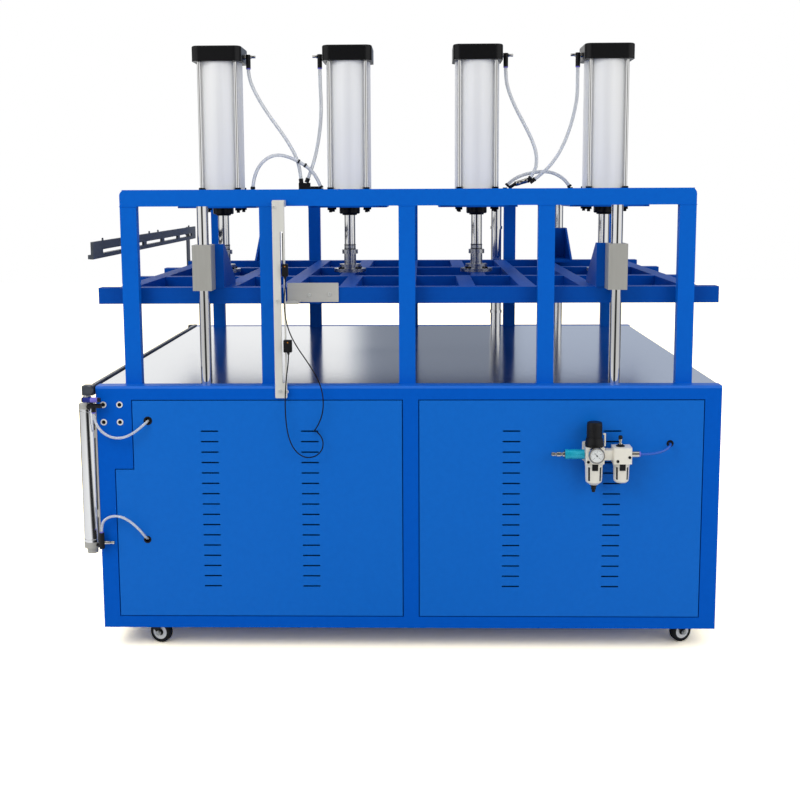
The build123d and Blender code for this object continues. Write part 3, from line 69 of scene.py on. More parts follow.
# Air hoses: clear polyurethane tube between the cylinders' elbows and the tees, thinner ones at the side
# cylinder, a thin blue tube after the lubricator, and black sheathed cables to the two position sensors. Each
# is pushed into its fitting.
CENTRE = np.array((24.5, 46.5, 0.0))


def metres(points):
    """Millimetres from the cabinet's middle, as metres in the machine's frame: (point + CENTRE) / 1000."""
    return (np.asarray(points, dtype=float) + CENTRE) / 1000.0


def linear(code):
    """An sRGB hex colour as linear red, green, blue and alpha."""
    values = np.array([int(code[i : i + 2], 16) for i in (0, 2, 4)]) / 255.0
    low, high = values / 12.92, ((values + 0.055) / 1.055) ** 2.4
    return (*np.where(values <= 0.04045, low, high).tolist(), 1.0)


def put(tree, kind, inputs=(), **settings):
    """Adds a shader node. Settings go on it, and inputs are {socket: value}, or {socket: output} to link."""
    made = tree.nodes.new(kind)
    for name, value in settings.items():
        setattr(made, name, value)
    for name, value in dict(inputs).items():
        if isinstance(value, bpy.types.NodeSocket):
            tree.links.new(value, made.inputs[name])
        else:
            made.inputs[name].default_value = value
    return made


def finish(name, code, sockets, size, rough, depth=0.0, stretch=(1.0, 1.0, 1.0), tint=None):
    """A material of this colour, whose sockets are the shader's values that are the same all over it. Its
    grain is noise of this size in millimetres, stretched along an axis. The noise moves the roughness between
    the two values of rough and raises a bump of this depth in millimetres. Noise almost seven times as wide
    mixes in the tint, if there is one."""
    made = bpy.data.materials.new(name)
    made.use_nodes = True
    tree = made.node_tree
    tree.nodes.clear()
    even = {"Base Color": linear(code), "Roughness": sum(rough) / 2} | sockets
    shader = put(tree, "ShaderNodeBsdfPrincipled", even)
    put(tree, "ShaderNodeOutputMaterial", {"Surface": shader.outputs[0]})
    place = put(tree, "ShaderNodeTexCoord")
    scaled = put(tree, "ShaderNodeMapping", {"Vector": place.outputs["Object"], "Scale": stretch})
    fine = {"Scale": 1000.0 / size, "Detail": 4.0}
    noise = put(tree, "ShaderNodeTexNoise", {"Vector": scaled.outputs[0]} | fine)
    span = {"From Min": 0.3, "From Max": 0.7, "To Min": rough[0], "To Max": rough[1]}
    dull = put(tree, "ShaderNodeMapRange", {"Value": noise.outputs["Fac"]} | span)
    tree.links.new(dull.outputs[0], shader.inputs["Roughness"])
    if depth:
        bump = put(tree, "ShaderNodeBump", {"Height": noise.outputs["Fac"], "Distance": depth / 1000.0})
        tree.links.new(bump.outputs[0], shader.inputs["Normal"])
    if tint:
        wide = {"Scale": 150.0 / size, "Detail": 2.0}
        patches = put(tree, "ShaderNodeTexNoise", {"Vector": scaled.outputs[0]} | wide)
        colours = {0: patches.outputs["Fac"], 6: linear(code), 7: linear(tint)}
        mixed = put(tree, "ShaderNodeMix", colours, data_type="RGBA")
        tree.links.new(mixed.outputs[2], shader.inputs["Base Color"])
    return made


# Clear polyurethane tube: extruded, smooth and slightly milky, so its edges look grey and its middle bright
milky = {"Transmission Weight": 0.5, "IOR": 1.45}
clear_polyurethane = finish("clear_polyurethane_tube", "f6f7f8", milky, 6.0, (0.1, 0.22), tint="e3e7ea")
# Blue polyurethane tube: the same tube with a dye in it, which keeps its shine
blue_polyurethane = finish(
    "blue_polyurethane_tube", "1c5cc4", {"Coat Weight": 0.3}, 5.0, (0.16, 0.3), tint="1650b0"
)
# Cable sheath: extruded black PVC, dull, with a faint drag along it
cable_sheath = finish("black_cable_sheath", "0c0c0d", {"Specular IOR Level": 0.2}, 2.0, (0.42, 0.6), 0.05)

# Diameter, finish, slot and stiffness of each kind
PRESS_HOSE = (12.5, clear_polyurethane, "clear_hose", "medium")
SIDE_HOSE = (8.0, clear_polyurethane, "clear_hose", "medium")
OUTLET_HOSE = (8.0, blue_polyurethane, "blue_tube", "medium")
SENSOR_CABLE = (3.6, cable_sheath, "black_cable", "limp")


def hose(node, kind, points):
    """One hose or cable along given points: a round tube on a NURBS line that they control."""
    diameter, material, slot, stiffness = kind
    curve = bpy.data.curves.new(node + "_line", "CURVE")
    curve.dimensions = "3D"
    curve.resolution_u = 10
    curve.bevel_depth = diameter / 2000.0
    curve.bevel_resolution = 5
    curve.use_fill_caps = True
    route = metres(points)
    line = curve.splines.new("NURBS")
    line.points.add(len(route) - 1)
    line.points.foreach_set("co", np.hstack((route, np.ones((len(route), 1)))).ravel())
    line.order_u = 3
    line.use_endpoint_u = True
    curve.materials.append(material)
    tube = bpy.data.objects.new(node + "_tube", curve)
    bpy.context.scene.collection.objects.link(tube)
    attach(tube, "machine")
    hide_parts(node)


hose(
    "cylinder_1_hose",
    PRESS_HOSE,
    (
        (-582.5, 0, 1868), (-582.5, 0, 1834), (-556, 4, 1772), (-516, 7, 1706), (-479, 8, 1656),
        (-443, 7, 1603), (-417, 5, 1556), (-402, 2, 1511), (-398, 0, 1468),
    ),
)
hose(
    "cylinder_2_hose",
    PRESS_HOSE,
    (
        (-323.5, 0, 1868), (-323.5, 0, 1812), (-320, 4, 1742), (-324, 7, 1666), (-335, 7, 1594),
        (-348, 4, 1540), (-362, 0, 1498), (-373, 0, 1470),
    ),
)
hose(
    "cylinder_3_hose",
    PRESS_HOSE,
    (
        (347.5, 0, 1868), (347.5, 0, 1833), (357, 3, 1785), (385, 6, 1721), (417, 8, 1664), (444, 7, 1611),
        (460, 5, 1567), (463, 2, 1527), (456, 0, 1495), (439, 0, 1471),
    ),
)
hose(
    "cylinder_4_hose",
    PRESS_HOSE,
    (
        (606.5, 0, 1868), (606.5, 0, 1822), (607, 4, 1757), (593, 7, 1686), (573, 8, 1620), (546, 6, 1562),
        (514, 3, 1517), (482, 0, 1486), (454, 0, 1465),
    ),
)
hose(
    "left_link_hose",
    PRESS_HOSE,
    (
        (-571, -28, 1440), (-567, -28, 1476), (-546, -29, 1521), (-513, -30, 1550), (-474, -30, 1559),
        (-434, -30, 1549), (-397, -29, 1530), (-363, -28, 1508), (-337, -28, 1476), (-323, -28, 1441),
    ),
)
hose(
    "right_link_hose",
    PRESS_HOSE,
    (
        (358.5, 30, 1445.5), (376, 30, 1463), (408, 30, 1480), (446, 31, 1490), (489, 31, 1495),
        (525, 30, 1490), (555, 30, 1475), (574, 30, 1458), (586, 30, 1441),
    ),
)
hose(
    "side_cylinder_upper_hose",
    SIDE_HOSE,
    (
        (-951, -846, 765), (-951, -846, 745), (-938, -848, 716), (-915, -850, 694), (-885, -850, 684),
        (-854, -848, 688), (-826, -844, 704), (-806, -838, 720), (-795, -828, 730), (-793, -812, 733),
        (-793, -797, 733),
    ),
)
hose(
    "side_cylinder_lower_hose",
    SIDE_HOSE,
    (
        (-943, -838, 386), (-943, -838, 408), (-931, -843, 429), (-908, -846, 441), (-879, -848, 440),
        (-853, -848, 426), (-832, -845, 406), (-817, -840, 386), (-809, -832, 370), (-806, -818, 361),
        (-806, -803, 359),
    ),
)
hose(
    "outlet_hose",
    OUTLET_HOSE,
    (
        (695, -868, 640), (719, -868, 640), (747, -866, 642), (773, -860, 649), (790, -848, 658),
        (797, -833, 662), (797.6, -817, 662), (797.6, -802, 662),
    ),
)
hose(
    "upper_sensor_cable",
    SENSOR_CABLE,
    (
        (-363, -835, 1174), (-363, -835, 1146), (-368, -839, 1100), (-364, -841, 1050), (-352, -842, 1004),
        (-330, -843, 962), (-302, -843, 921), (-276, -844, 880), (-258, -844, 838), (-252, -845, 796),
        (-256, -845, 758), (-268, -842, 727), (-281, -834, 706), (-286, -826, 700.5), (-286.5, -810, 700.5),
    ),
)
hose(
    "lower_sensor_cable",
    SENSOR_CABLE,
    (
        (-357, -836, 946), (-357, -836, 918), (-364, -840, 872), (-368, -841, 822), (-369, -843, 772),
        (-366, -845, 722), (-358, -847, 680), (-341, -848, 645), (-313, -848, 624), (-281, -848, 626),
        (-259, -847, 645), (-254, -844, 670), (-262, -838, 690), (-276, -829, 700.5), (-277, -811, 700.5),
    ),
)

# Studio: an even white room. It is dimmer than white where it lights the machine. Polished metal sees it
# white, apart from soft dark screens around it and a pale wall behind the machine, which give the metal its
# edges.
SCREENS = 3.0
SCREEN_EDGE = {"From Min": -0.85, "From Max": -0.3, "To Min": 0.03}
WALL_LEFT = {"From Min": -0.068, "From Max": -0.046}
WALL_RIGHT = {"From Min": 0.9, "From Max": 0.45}
WALL_SHADE = {"To Min": 1.0, "To Max": 0.7}
DOOR_MIDDLE = 0.009
DOOR_EDGE = {"From Min": 0.054, "From Max": 0.076, "To Min": 0.52}
AMBIENT = 0.66
scene = bpy.context.scene


def surroundings(tree, place):
    """What polished metal sees at this place around the machine, by its azimuth a from the back, in radians.
    First comes the brightness: that of the soft screens, which are dark where cos(SCREENS * a) is low, times
    the shade of the back wall and of its doorway. Then comes how much of that wall is there, 0 to 1."""
    around = put(tree, "ShaderNodeSeparateXYZ", {0: place})
    across, back = around.outputs["X"], around.outputs["Y"]
    azimuth = put(tree, "ShaderNodeMath", {0: across, 1: back}, operation="ARCTAN2").outputs[0]
    turns = put(tree, "ShaderNodeMath", {0: azimuth, 1: SCREENS}, operation="MULTIPLY").outputs[0]
    wave = put(tree, "ShaderNodeMath", {0: turns}, operation="COSINE").outputs[0]
    screens = put(tree, "ShaderNodeMapRange", {"Value": wave} | SCREEN_EDGE).outputs[0]
    from_left = put(tree, "ShaderNodeMapRange", {"Value": azimuth} | WALL_LEFT).outputs[0]
    from_right = put(tree, "ShaderNodeMapRange", {"Value": azimuth} | WALL_RIGHT).outputs[0]
    wall = put(tree, "ShaderNodeMath", {0: from_left, 1: from_right}, operation="MULTIPLY").outputs[0]
    wall_shade = put(tree, "ShaderNodeMapRange", {"Value": wall} | WALL_SHADE).outputs[0]
    off_door = put(tree, "ShaderNodeMath", {0: azimuth, 1: DOOR_MIDDLE}, operation="SUBTRACT").outputs[0]
    far_off = put(tree, "ShaderNodeMath", {0: off_door}, operation="ABSOLUTE").outputs[0]
    door_shade = put(tree, "ShaderNodeMapRange", {"Value": far_off} | DOOR_EDGE).outputs[0]
    shade = put(tree, "ShaderNodeMath", {0: wall_shade, 1: door_shade}, operation="MULTIPLY").outputs[0]
    band = put(tree, "ShaderNodeMath", {0: screens, 1: shade}, operation="MULTIPLY").outputs[0]
    return band, wall


scene.view_settings.view_transform = "Standard"
room = bpy.data.worlds.new("studio_room")
scene.world = room
room.use_nodes = True
tree = room.node_tree
tree.nodes.clear()
rays = put(tree, "ShaderNodeLightPath")
in_shine, in_glass = rays.outputs["Is Glossy Ray"], rays.outputs["Is Transmission Ray"]
shiny = put(tree, "ShaderNodeMath", {0: in_shine, 1: in_glass}, operation="ADD").outputs[0]
direction = put(tree, "ShaderNodeTexCoord")
screens, wall = surroundings(tree, direction.outputs["Generated"])
wall_tint = put(tree, "ShaderNodeMix", {0: wall, 6: linear("ffffff"), 7: linear("d0dbf0")}, data_type="RGBA")
ambient = put(tree, "ShaderNodeBackground", {"Color": linear("ffffff"), "Strength": AMBIENT})
seen = put(tree, "ShaderNodeBackground", {"Color": linear("ffffff"), "Strength": 1.0})
mirrored = put(tree, "ShaderNodeBackground", {"Color": wall_tint.outputs[2], "Strength": screens})
lit = put(tree, "ShaderNodeMixShader", {0: shiny, 1: ambient.outputs[0], 2: mirrored.outputs[0]})
to_camera = rays.outputs["Is Camera Ray"]
shown = put(tree, "ShaderNodeMixShader", {0: to_camera, 1: lit.outputs[0], 2: seen.outputs[0]})
put(tree, "ShaderNodeOutputWorld", {"Surface": shown.outputs[0]})


def softbox(name, place, target, size, watts):
    """A square area lamp at a place, turned to face a target and not mirrored in metal."""
    lamp = bpy.data.objects.new(name, bpy.data.lights.new(name, "AREA"))
    lamp.data.size = size
    lamp.data.energy = watts
    aim = Vector(target) - Vector(place)
    lamp.visible_glossy = False
    lamp.matrix_world = Matrix.Translation(place) @ aim.to_track_quat("-Z", "Y").to_matrix().to_4x4()
    scene.collection.objects.link(lamp)


softbox("key_lamp", (-2.6, -3.6, 3.6), (0.0, 0.0, 0.8), 2.4, 80.0)
softbox("fill_lamp", (3.0, -3.8, 2.4), (0.0, 0.0, 0.8), 2.6, 45.0)
softbox("top_lamp", (0.0, 0.4, 4.4), (0.0, 0.2, 0.0), 3.0, 40.0)

# Floor: a plain pale studio floor, 28 metres square. It is seen as white but keeps the machine's shadow,
# lights the machine as light grey does, and shows the room's screens in polished metal.
FLOOR_HALF = 14.0
# Over 1 in each colour, so that the lit floor is seen white and only the shadow shows on it
FLOOR_SEEN = (2.4, 2.2, 1.7, 1.0)
floor = bpy.data.objects.new("studio_floor", bpy.data.meshes.new("studio_floor"))
floor_corners = [(x * FLOOR_HALF, y * FLOOR_HALF, 0.0) for x, y in ((-1, -1), (1, -1), (1, 1), (-1, 1))]
floor.data.from_pydata(floor_corners, [], [(0, 1, 2, 3)])
scene.collection.objects.link(floor)
studio_floor = bpy.data.materials.new("studio_floor")
studio_floor.use_nodes = True
tree = studio_floor.node_tree
tree.nodes.clear()
rays = put(tree, "ShaderNodeLightPath")
bright = put(tree, "ShaderNodeBsdfDiffuse", {"Color": FLOOR_SEEN})
plain = put(tree, "ShaderNodeBsdfDiffuse", {"Color": linear("d0d0d0")})
place = put(tree, "ShaderNodeTexCoord")
screens, wall = surroundings(tree, place.outputs["Object"])
mirror_image = put(tree, "ShaderNodeBsdfDiffuse", {"Color": screens})
to_camera, in_glass = rays.outputs["Is Camera Ray"], rays.outputs["Is Transmission Ray"]
direct = put(tree, "ShaderNodeMath", {0: to_camera, 1: in_glass}, operation="ADD").outputs[0]
seen_plain = put(tree, "ShaderNodeMixShader", {0: direct, 1: plain.outputs[0], 2: bright.outputs[0]})
in_metal = {0: rays.outputs["Is Glossy Ray"], 1: seen_plain.outputs[0], 2: mirror_image.outputs[0]}
blend = put(tree, "ShaderNodeMixShader", in_metal)
put(tree, "ShaderNodeOutputMaterial", {"Surface": blend.outputs[0]})
floor.data.materials.append(studio_floor)

# Blue steelwork: welded square tube, plate and folded sheet, powder-coated after welding. Its panels took a
# slightly greener blue than the frame. The coat is semi-gloss with a fine orange peel.
PEEL = 2.2


def powder_coat(name, code, tint, gloss):
    """Powder coat of one blue: smooth and semi-gloss, with orange peel a few millimetres wide."""
    return finish(name, code, {"Specular IOR Level": gloss}, PEEL, (0.36, 0.5), 0.03, tint=tint)


frame_blue = powder_coat("blue_powder_coat_frame", "0059c2", "0053ba", 0.05)
# Painted highlight: the table's edge bars take a lighter blue than the frame, standing for the light caught
# by their rounded top edges.
highlit_edge_blue = powder_coat("blue_powder_coat_edges_painted_highlight", "0c66ce", "0862c8", 0.45)
panel_blue = powder_coat("blue_powder_coat_panels", "0668c9", "0462c1", 0.14)
portal_blue = powder_coat("blue_powder_coat_portal", "0260c5", "025abf", 0.08)
# Painted shade: the platen takes a darker blue than the portal, standing for the shade it sits in.
shaded_platen_blue = powder_coat("blue_powder_coat_platen_painted_shade", "004ca8", "0046a0", 0.08)


def dress(material, *names):
    """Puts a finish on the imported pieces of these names."""
    for name in names:
        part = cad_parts[name]
        part.data.materials.clear()
        part.data.materials.append(material)


dress(frame_blue, "cabinet_posts", "cabinet_rails", "corner_plate", "panel_stops", "cabinet_floor")
dress(highlit_edge_blue, "table_edges")
dress(panel_blue, "cabinet_panels")
dress(portal_blue, "portal_uprights", "portal_rails", "cylinder_beams", "cylinder_plates")
dress(shaded_platen_blue, "platen_beams", "platen_cross_tubes", "press_plate", "bearing_brackets")

# Weld seams: each upright is welded to the table and to its rail all round. The seam is a thin rippled bead,
# left unground, under the same coat.
UPRIGHTS_X = (-843.0, -421.0, 0.0, 421.0, 843.0)
PORTAL_Y = 760.0
TABLE_TOP = 840.0
RAIL_BOTTOM = 1382.0
HALF_WIDTH = 25.0
HALF_DEPTH = 15.0
BEAD_RADIUS = 1.8
BEAD_PITCH = 4.0


def turned(profile, spots, axis=(0, 0, 1), sides=32):
    """Turned or many-sided pieces in millimetres, one at each spot. Each (radius, height) of the profile
    gives a ring: spot + radius * (cos a * u + sin a * v) + height * axis, with u and v square to the axis."""
    axis = np.asarray(axis, dtype=float)
    axis = axis / np.linalg.norm(axis)
    u = np.cross((0, 0, 1) if abs(axis[2]) < 0.9 else (1, 0, 0), axis)
    u = u / np.linalg.norm(u)
    v = np.cross(axis, u)
    profile = np.asarray(profile, dtype=float)
    spots = np.asarray(spots, dtype=float).reshape(-1, 3)
    angles = 2 * np.pi * (np.arange(sides) + 0.5) / sides
    rings = np.cos(angles)[:, None] * u + np.sin(angles)[:, None] * v
    local = profile[:, 0, None, None] * rings + profile[:, 1, None, None] * axis
    points = (spots[:, None, None] + local).reshape(-1, 3)
    counts = (np.arange(len(spots)), np.arange(len(profile) - 1), np.arange(sides))
    copy, row, column = np.meshgrid(*counts, indexing="ij")
    near = (copy * len(profile) + row) * sides + column
    beside = (copy * len(profile) + row) * sides + (column + 1) % sides
    quads = np.stack((near, beside, beside + sides, near + sides), axis=-1).reshape(-1, 4)
    return points, quads


def bead(start, end):
    """A weld bead from start to end: a six-sided tube whose radius ripples along it by
    BEAD_RADIUS * (1 + 0.12 * sin(2 pi s / BEAD_PITCH))."""
    start, end = np.asarray(start, dtype=float), np.asarray(end, dtype=float)
    steps = np.arange(0.0, np.linalg.norm(end - start), BEAD_PITCH / 3)
    radii = BEAD_RADIUS * (1 + 0.12 * np.sin(2 * np.pi * steps / BEAD_PITCH))
    profile = np.vstack(([0, 0], np.column_stack((radii, steps)), [0, steps[-1]]))
    return turned(profile, start, end - start, 6)


def make(name, shapes, material, body, bevel=0.0):
    """Makes one object of several shapes in millimetres, with faces outward, and fixes it to a body."""
    counts = np.cumsum([0] + [len(points) for points, quads in shapes])
    points = metres(np.vstack([points for points, quads in shapes]))
    quads = np.vstack([quads + start for (_, quads), start in zip(shapes, counts)])
    mesh = bpy.data.meshes.new(name)
    mesh.from_pydata(points.tolist(), [], quads.tolist())
    welded = bmesh.new()
    welded.from_mesh(mesh)
    bmesh.ops.remove_doubles(welded, verts=welded.verts, dist=2e-6)
    bmesh.ops.dissolve_degenerate(welded, edges=welded.edges, dist=1e-7)
    bmesh.ops.recalc_face_normals(welded, faces=welded.faces)
    welded.to_mesh(mesh)
    welded.free()
    mesh.polygons.foreach_set("use_smooth", np.ones(len(mesh.polygons), dtype=bool))
    mesh.set_sharp_from_angle(angle=math.radians(32.0))
    mesh.materials.append(material)
    made = bpy.data.objects.new(name, mesh)
    scene.collection.objects.link(made)
    if bevel:
        rounding = made.modifiers.new("rounding", "BEVEL")
        rounding.width = bevel / 1000.0
        rounding.segments = 2
    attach(made, body)
    return made


seams = []
for x in UPRIGHTS_X:
    for y in (-PORTAL_Y, PORTAL_Y):
        for z in (TABLE_TOP, RAIL_BOTTOM):
            left, right = x - HALF_WIDTH + 1, x + HALF_WIDTH - 1
            near, far = y - HALF_DEPTH + 1, y + HALF_DEPTH - 1
            for edge in (y - HALF_DEPTH, y + HALF_DEPTH):
                seams.append(bead((left, edge, z), (right, edge, z)))
            for edge in (x - HALF_WIDTH, x + HALF_WIDTH):
                seams.append(bead((edge, near, z), (edge, far, z)))
make("portal_weld_seams", seams, portal_blue, "machine")

# Table top: one sheet of stainless steel, rolled bright. It mirrors the platen and the columns softly, and
# stretches them along the rolling direction.
bright_stainless = finish(
    "bright_stainless_sheet",
    "dfe1e4",
    {"Metallic": 1.0, "Anisotropic": 0.35},
    1.4,
    (0.11, 0.18),
    0.002,
    stretch=(0.03, 1.0, 1.0),
    tint="d8dbde",
)
dress(bright_stainless, "table_top")

# Press cylinders: clear-anodised drawn tube between die-cast black caps, held by four chromed tie rods with
# black nuts. Bolts hold each lower cap to its plate, so black nuts and bolt ends show beside each nose too.
CYLINDERS_X = (-685.5, -220.5, 244.5, 709.5)
LOWER_CAP_TOP = 1430.0
PLATE_BOTTOM = 1368.0
NOSE_BOTTOM = 1344.0
TIE_ROD_AT = 65.0
NUT_HEIGHT = 10.0
NUT = ((0, 0), (10.6, 0), (11.4, 0.8), (11.4, 9.2), (10.6, NUT_HEIGHT), (0, NUT_HEIGHT))
BOLT_END = ((0, 0), (6, 0), (6, 7), (5.2, 8), (0, 8))
WIPER = ((20.4, 0), (27, 0), (27, -3), (25, -5), (20.4, -5), (20.4, 0))
UPRIGHT_GRAIN = (1.0, 1.0, 0.04)
DOWN = (0, 0, -1)
# Clear-anodised tube: drawn aluminium under a thin oxide, pale and satin, with faint draw lines up it
clear_anodised = finish(
    "clear_anodised_tube", "f1f1ef", {"Metallic": 0.08}, 1.5, (0.28, 0.38), 0.004, UPRIGHT_GRAIN, "ecece9"
)
# Black enamel on a die casting: deep and fairly glossy, with the slight pebble of the casting
black_casting = finish(
    "black_enamelled_casting", "0e0e0f", {"Specular IOR Level": 0.25}, 1.2, (0.26, 0.38), 0.02, tint="131314"
)
# Hard chrome: ground and polished, a clear mirror with hardly any tool mark
GROUND = (1.0, 1.0, 0.1)
hard_chrome = finish("hard_chrome_rod", "dededd", {"Metallic": 1.0}, 1.0, (0.05, 0.11), 0.001, GROUND)
# Blackened steel: oiled oxide on a rolled fastener, dark with a soft shine
blackened = {"Metallic": 0.3, "Specular IOR Level": 0.25}
black_steel = finish("blackened_steel_fastener", "0d0d0e", blackened, 0.8, (0.32, 0.5), 0.02)
dress(clear_anodised, "cylinder_barrels")
dress(black_casting, "cylinder_caps")
dress(hard_chrome, "tie_rods", "piston_rods", "guide_columns")
beside = (-TIE_ROD_AT, TIE_ROD_AT)
tie_rods = np.array([(x + right, back, 0.0) for x in CYLINDERS_X for right in beside for back in beside])
under_plate = PLATE_BOTTOM - NUT_HEIGHT
nuts = [turned(NUT, tie_rods + (0, 0, z), sides=6) for z in (LOWER_CAP_TOP, under_plate)]
bolt_ends = turned(BOLT_END, tie_rods + (0, 0, under_plate), DOWN, 16)
make("cylinder_nuts", [*nuts, bolt_ends], black_steel, "machine")
wipers = turned(WIPER, [(x, 0, NOSE_BOTTOM) for x in CYLINDERS_X])
make("rod_wipers", [wipers], black_steel, "machine")

# Rod couplings: turned steel, bright, with fine tool marks round them. Black sealing rings show above the
# collar, and four cap screws hold the pad to its joist.
PAD_TOP = 1144.0
PAD_SCREWS_AT = 49.0
COLLAR_TOP = 1213.0
SMALL_HEAD = ((0, 0), (6.5, 0), (6.5, 5.4), (5.9, 6), (3.2, 6), (3.2, 3), (0, 3))
NECK = ((20.2, 0), (21, 0.6), (21, 19.4), (20.2, 20))
NECK_LINE = ((20.5, -1.4), (21.4, -1.2), (21.4, 1.2), (20.5, 1.4))
NECK_LINES_UP = (3, 17)
# Turned steel: bare and bright, its tool marks drawing each highlight out sideways
turned_steel = finish("turned_steel", "b9bab9", {"Metallic": 1.0}, 0.9, (0.18, 0.32), 0.01, (0.15, 0.15, 1.0))
dress(turned_steel, "rod_couplings")
pad_screws = [
    (x + PAD_SCREWS_AT * math.cos(angle), PAD_SCREWS_AT * math.sin(angle), PAD_TOP)
    for x in CYLINDERS_X
    for angle in np.radians((45, 135, 225, 315))
]
make("coupling_screws", [turned(SMALL_HEAD, pad_screws, sides=20)], black_steel, "platen")
necks = turned(NECK, [(x, 0, COLLAR_TOP) for x in CYLINDERS_X])
make("rod_necks", [necks], turned_steel, "platen")
lines = turned(NECK_LINE, [(x, 0, COLLAR_TOP + lift) for x in CYLINDERS_X for lift in NECK_LINES_UP])
make("rod_neck_lines", [lines], black_steel, "platen")

# Bearing blocks: milled aluminium, bare and dull, so it looks a warm middle grey with mill marks running up
# it. They are screwed to their brackets from behind, so the faces are plain. The side cylinders' ends have
# the same finish.
MILLED_UP = (1.0, 1.0, 0.06)
milled_aluminium = finish(
    "milled_aluminium", "b2b1ab", {"Metallic": 0.3}, 1.6, (0.34, 0.5), 0.02, MILLED_UP, "a5a49e"
)
dress(milled_aluminium, "bearing_blocks", "seal_cylinder_caps", "seal_cylinder_mounts")

# Sensor bar and switch arm: sawn flat bar and angle, left bare, fixed by small cap screws. The sensors are
# black moulded cases with a lens at the front and a cable gland below.
TO_FRONT = (0, -1, 0)
BAR_SCREWS = ((-394, -828, 1380), (-389, -828, 1100), (-386, -828, 826), (-364.5, -828, 824))
ARM_SCREWS = ((-302, -725, 1109), (-240, -725, 1111))
SCREW = ((0, 0), (5.5, 0), (5.5, 3.4), (4.9, 4), (2.6, 4), (2.6, 1.6), (0, 1.6))
SLOT_SHADE = ((-371.4, -827.6, 1213), (-368.4, -821, 1303))
GLANDS = ((-363, -835, 1174), (-357, -836, 946))
GLAND = ((0, 0), (4.2, 0), (4.2, -3), (3.2, -7), (2.2, -8), (0, -8))
LENSES = ((-363, -842, 1204), (-358, -844, 976))
LENS = ((0, 0), (2, 0), (1.8, 0.8), (0, 1.2))


def boxes(corners):
    """Rectangular blocks in millimetres, each given as its lowest and highest corner. Its eight points take
    each of x, y and z from one of the two corners."""
    corners = np.asarray(corners, dtype=float).reshape(-1, 2, 3)
    pick = np.array([(x, y, z) for z in (0, 1) for y in (0, 1) for x in (0, 1)])
    points = np.take_along_axis(corners, pick[None], axis=1).reshape(-1, 3)
    sides = np.array([(0, 2, 3, 1), (4, 5, 7, 6), (0, 1, 5, 4), (2, 6, 7, 3), (0, 4, 6, 2), (1, 3, 7, 5)])
    return points, (8 * np.arange(len(corners))[:, None, None] + sides).reshape(-1, 4)


# Zinc-plated washer: pale silver, a little cloudy
pale_washer = finish("zinc_plated_washer", "e2e3df", {"Metallic": 0.4}, 0.9, (0.24, 0.38))
# Bare flat bar: drawn aluminium, the palest of the bare metals, with draw lines up it
flat_bar = finish(
    "bare_aluminium_flat_bar", "e8e7e0", {"Metallic": 0.3}, 1.6, (0.34, 0.48), 0.02, MILLED_UP, "dfded7"
)
# Bare angle: the same metal, greyer, with draw lines along it
bare_angle = finish(
    "bare_aluminium_angle", "cdccc6", {"Metallic": 0.3}, 1.6, (0.34, 0.5), 0.02, (0.06, 1.0, 1.0), "c4c3bd"
)
# Black nylon: moulded, dull and slightly pebbled
black_nylon = finish(
    "black_moulded_nylon", "101012", {"Specular IOR Level": 0.25}, 0.9, (0.38, 0.52), 0.03, tint="161618"
)
# Amber lens: clear dyed plastic, smooth enough for a small bright spot
amber_lens = finish("amber_sensor_lens", "c77a1c", {"Coat Weight": 0.5}, 0.8, (0.15, 0.25))
dress(flat_bar, "sensor_bar")
dress(bare_angle, "switch_arm")
dress(black_nylon, "position_sensors", "air_fittings", "regulator_knob")
make("sensor_bar_screws", [turned(SCREW, BAR_SCREWS, TO_FRONT, 24)], pale_washer, "machine")
make("switch_arm_screws", [turned(SCREW, ARM_SCREWS, TO_FRONT, 24)], pale_washer, "platen")
# Painted shade: a thin black strip in the bar's slot stands for the shadowed inner side of the slot.
make("sensor_slot_painted_shade", [boxes(SLOT_SHADE)], black_nylon, "machine", 0.6)
make("sensor_glands", [turned(GLAND, GLANDS)], black_nylon, "machine")
make("sensor_lenses", [turned(LENS, LENSES, TO_FRONT, 20)], amber_lens, "machine")

# Sealing bars: dark grey painted steel. The upper one is screwed to its hangers and has studs on top and a
# bright heating strip under it. The lower one sits on its lifting rods, with a pale pad along its top.
TO_LEFT = (-1, 0, 0)
HANGER_SCREWS = [(-963, y + dy, z) for y in (-232, 695) for dy in (-14, 14) for z in (1247, 1264)]
BAR_STUDS = [(-944, y, 1278) for y in (-700, -430, -80, 60, 640)]
BAR_STUD = ((0, -3), (3, -3), (3, 6), (2.2, 8), (0, 8))
HEATING_STRIP = ((-952, -812, 1224.9), (-944, 756, 1226.2))
PAD = ((-967, -790, 841.8), (-957, 790, 844.0))
# Grey enamel: sprayed on steel, satin, a cool dark grey
sprayed = {"Metallic": 0.3, "Specular IOR Level": 0.3}
grey_enamel = finish("dark_grey_enamel", "4e535b", sprayed, 1.6, (0.34, 0.5), 0.02, tint="434850")
# Heating strip: rolled nickel alloy, warm and bright
heating_strip = finish("heating_strip", "bfb6a4", {"Metallic": 0.9}, 1.0, (0.22, 0.4))
# Silicone pad: moulded rubber, matt and pale grey
silicone = finish("silicone_pad_strip", "9b9da0", {}, 1.2, (0.5, 0.7), 0.03)
dress(grey_enamel, "upper_seal_bar", "seal_bar_hangers", "lower_seal_bar")
make("hanger_screws", [turned(SCREW, HANGER_SCREWS, TO_LEFT, 20)], black_steel, "platen")
make("upper_bar_studs", [turned(BAR_STUD, BAR_STUDS, sides=16)], grey_enamel, "platen")
make("heating_strip_upper", [boxes(HEATING_STRIP)], heating_strip, "platen", 0.3)
make("silicone_pad", [boxes(PAD)], silicone, "lower_sealer", 0.6)

# Side cylinders: thin stainless tube, polished, rolled into turned aluminium ends. A nut on each rod holds
# the lower sealing bar.
SIDE_CYLINDERS = ((-980, -810), (-980, 810))
ROD_NUT_Z = 800.0
ROD_NUT = ((8.1, 0), (13, 0), (13.6, 0.8), (13.6, 7.2), (13, 8), (8.1, 8), (8.1, 0))
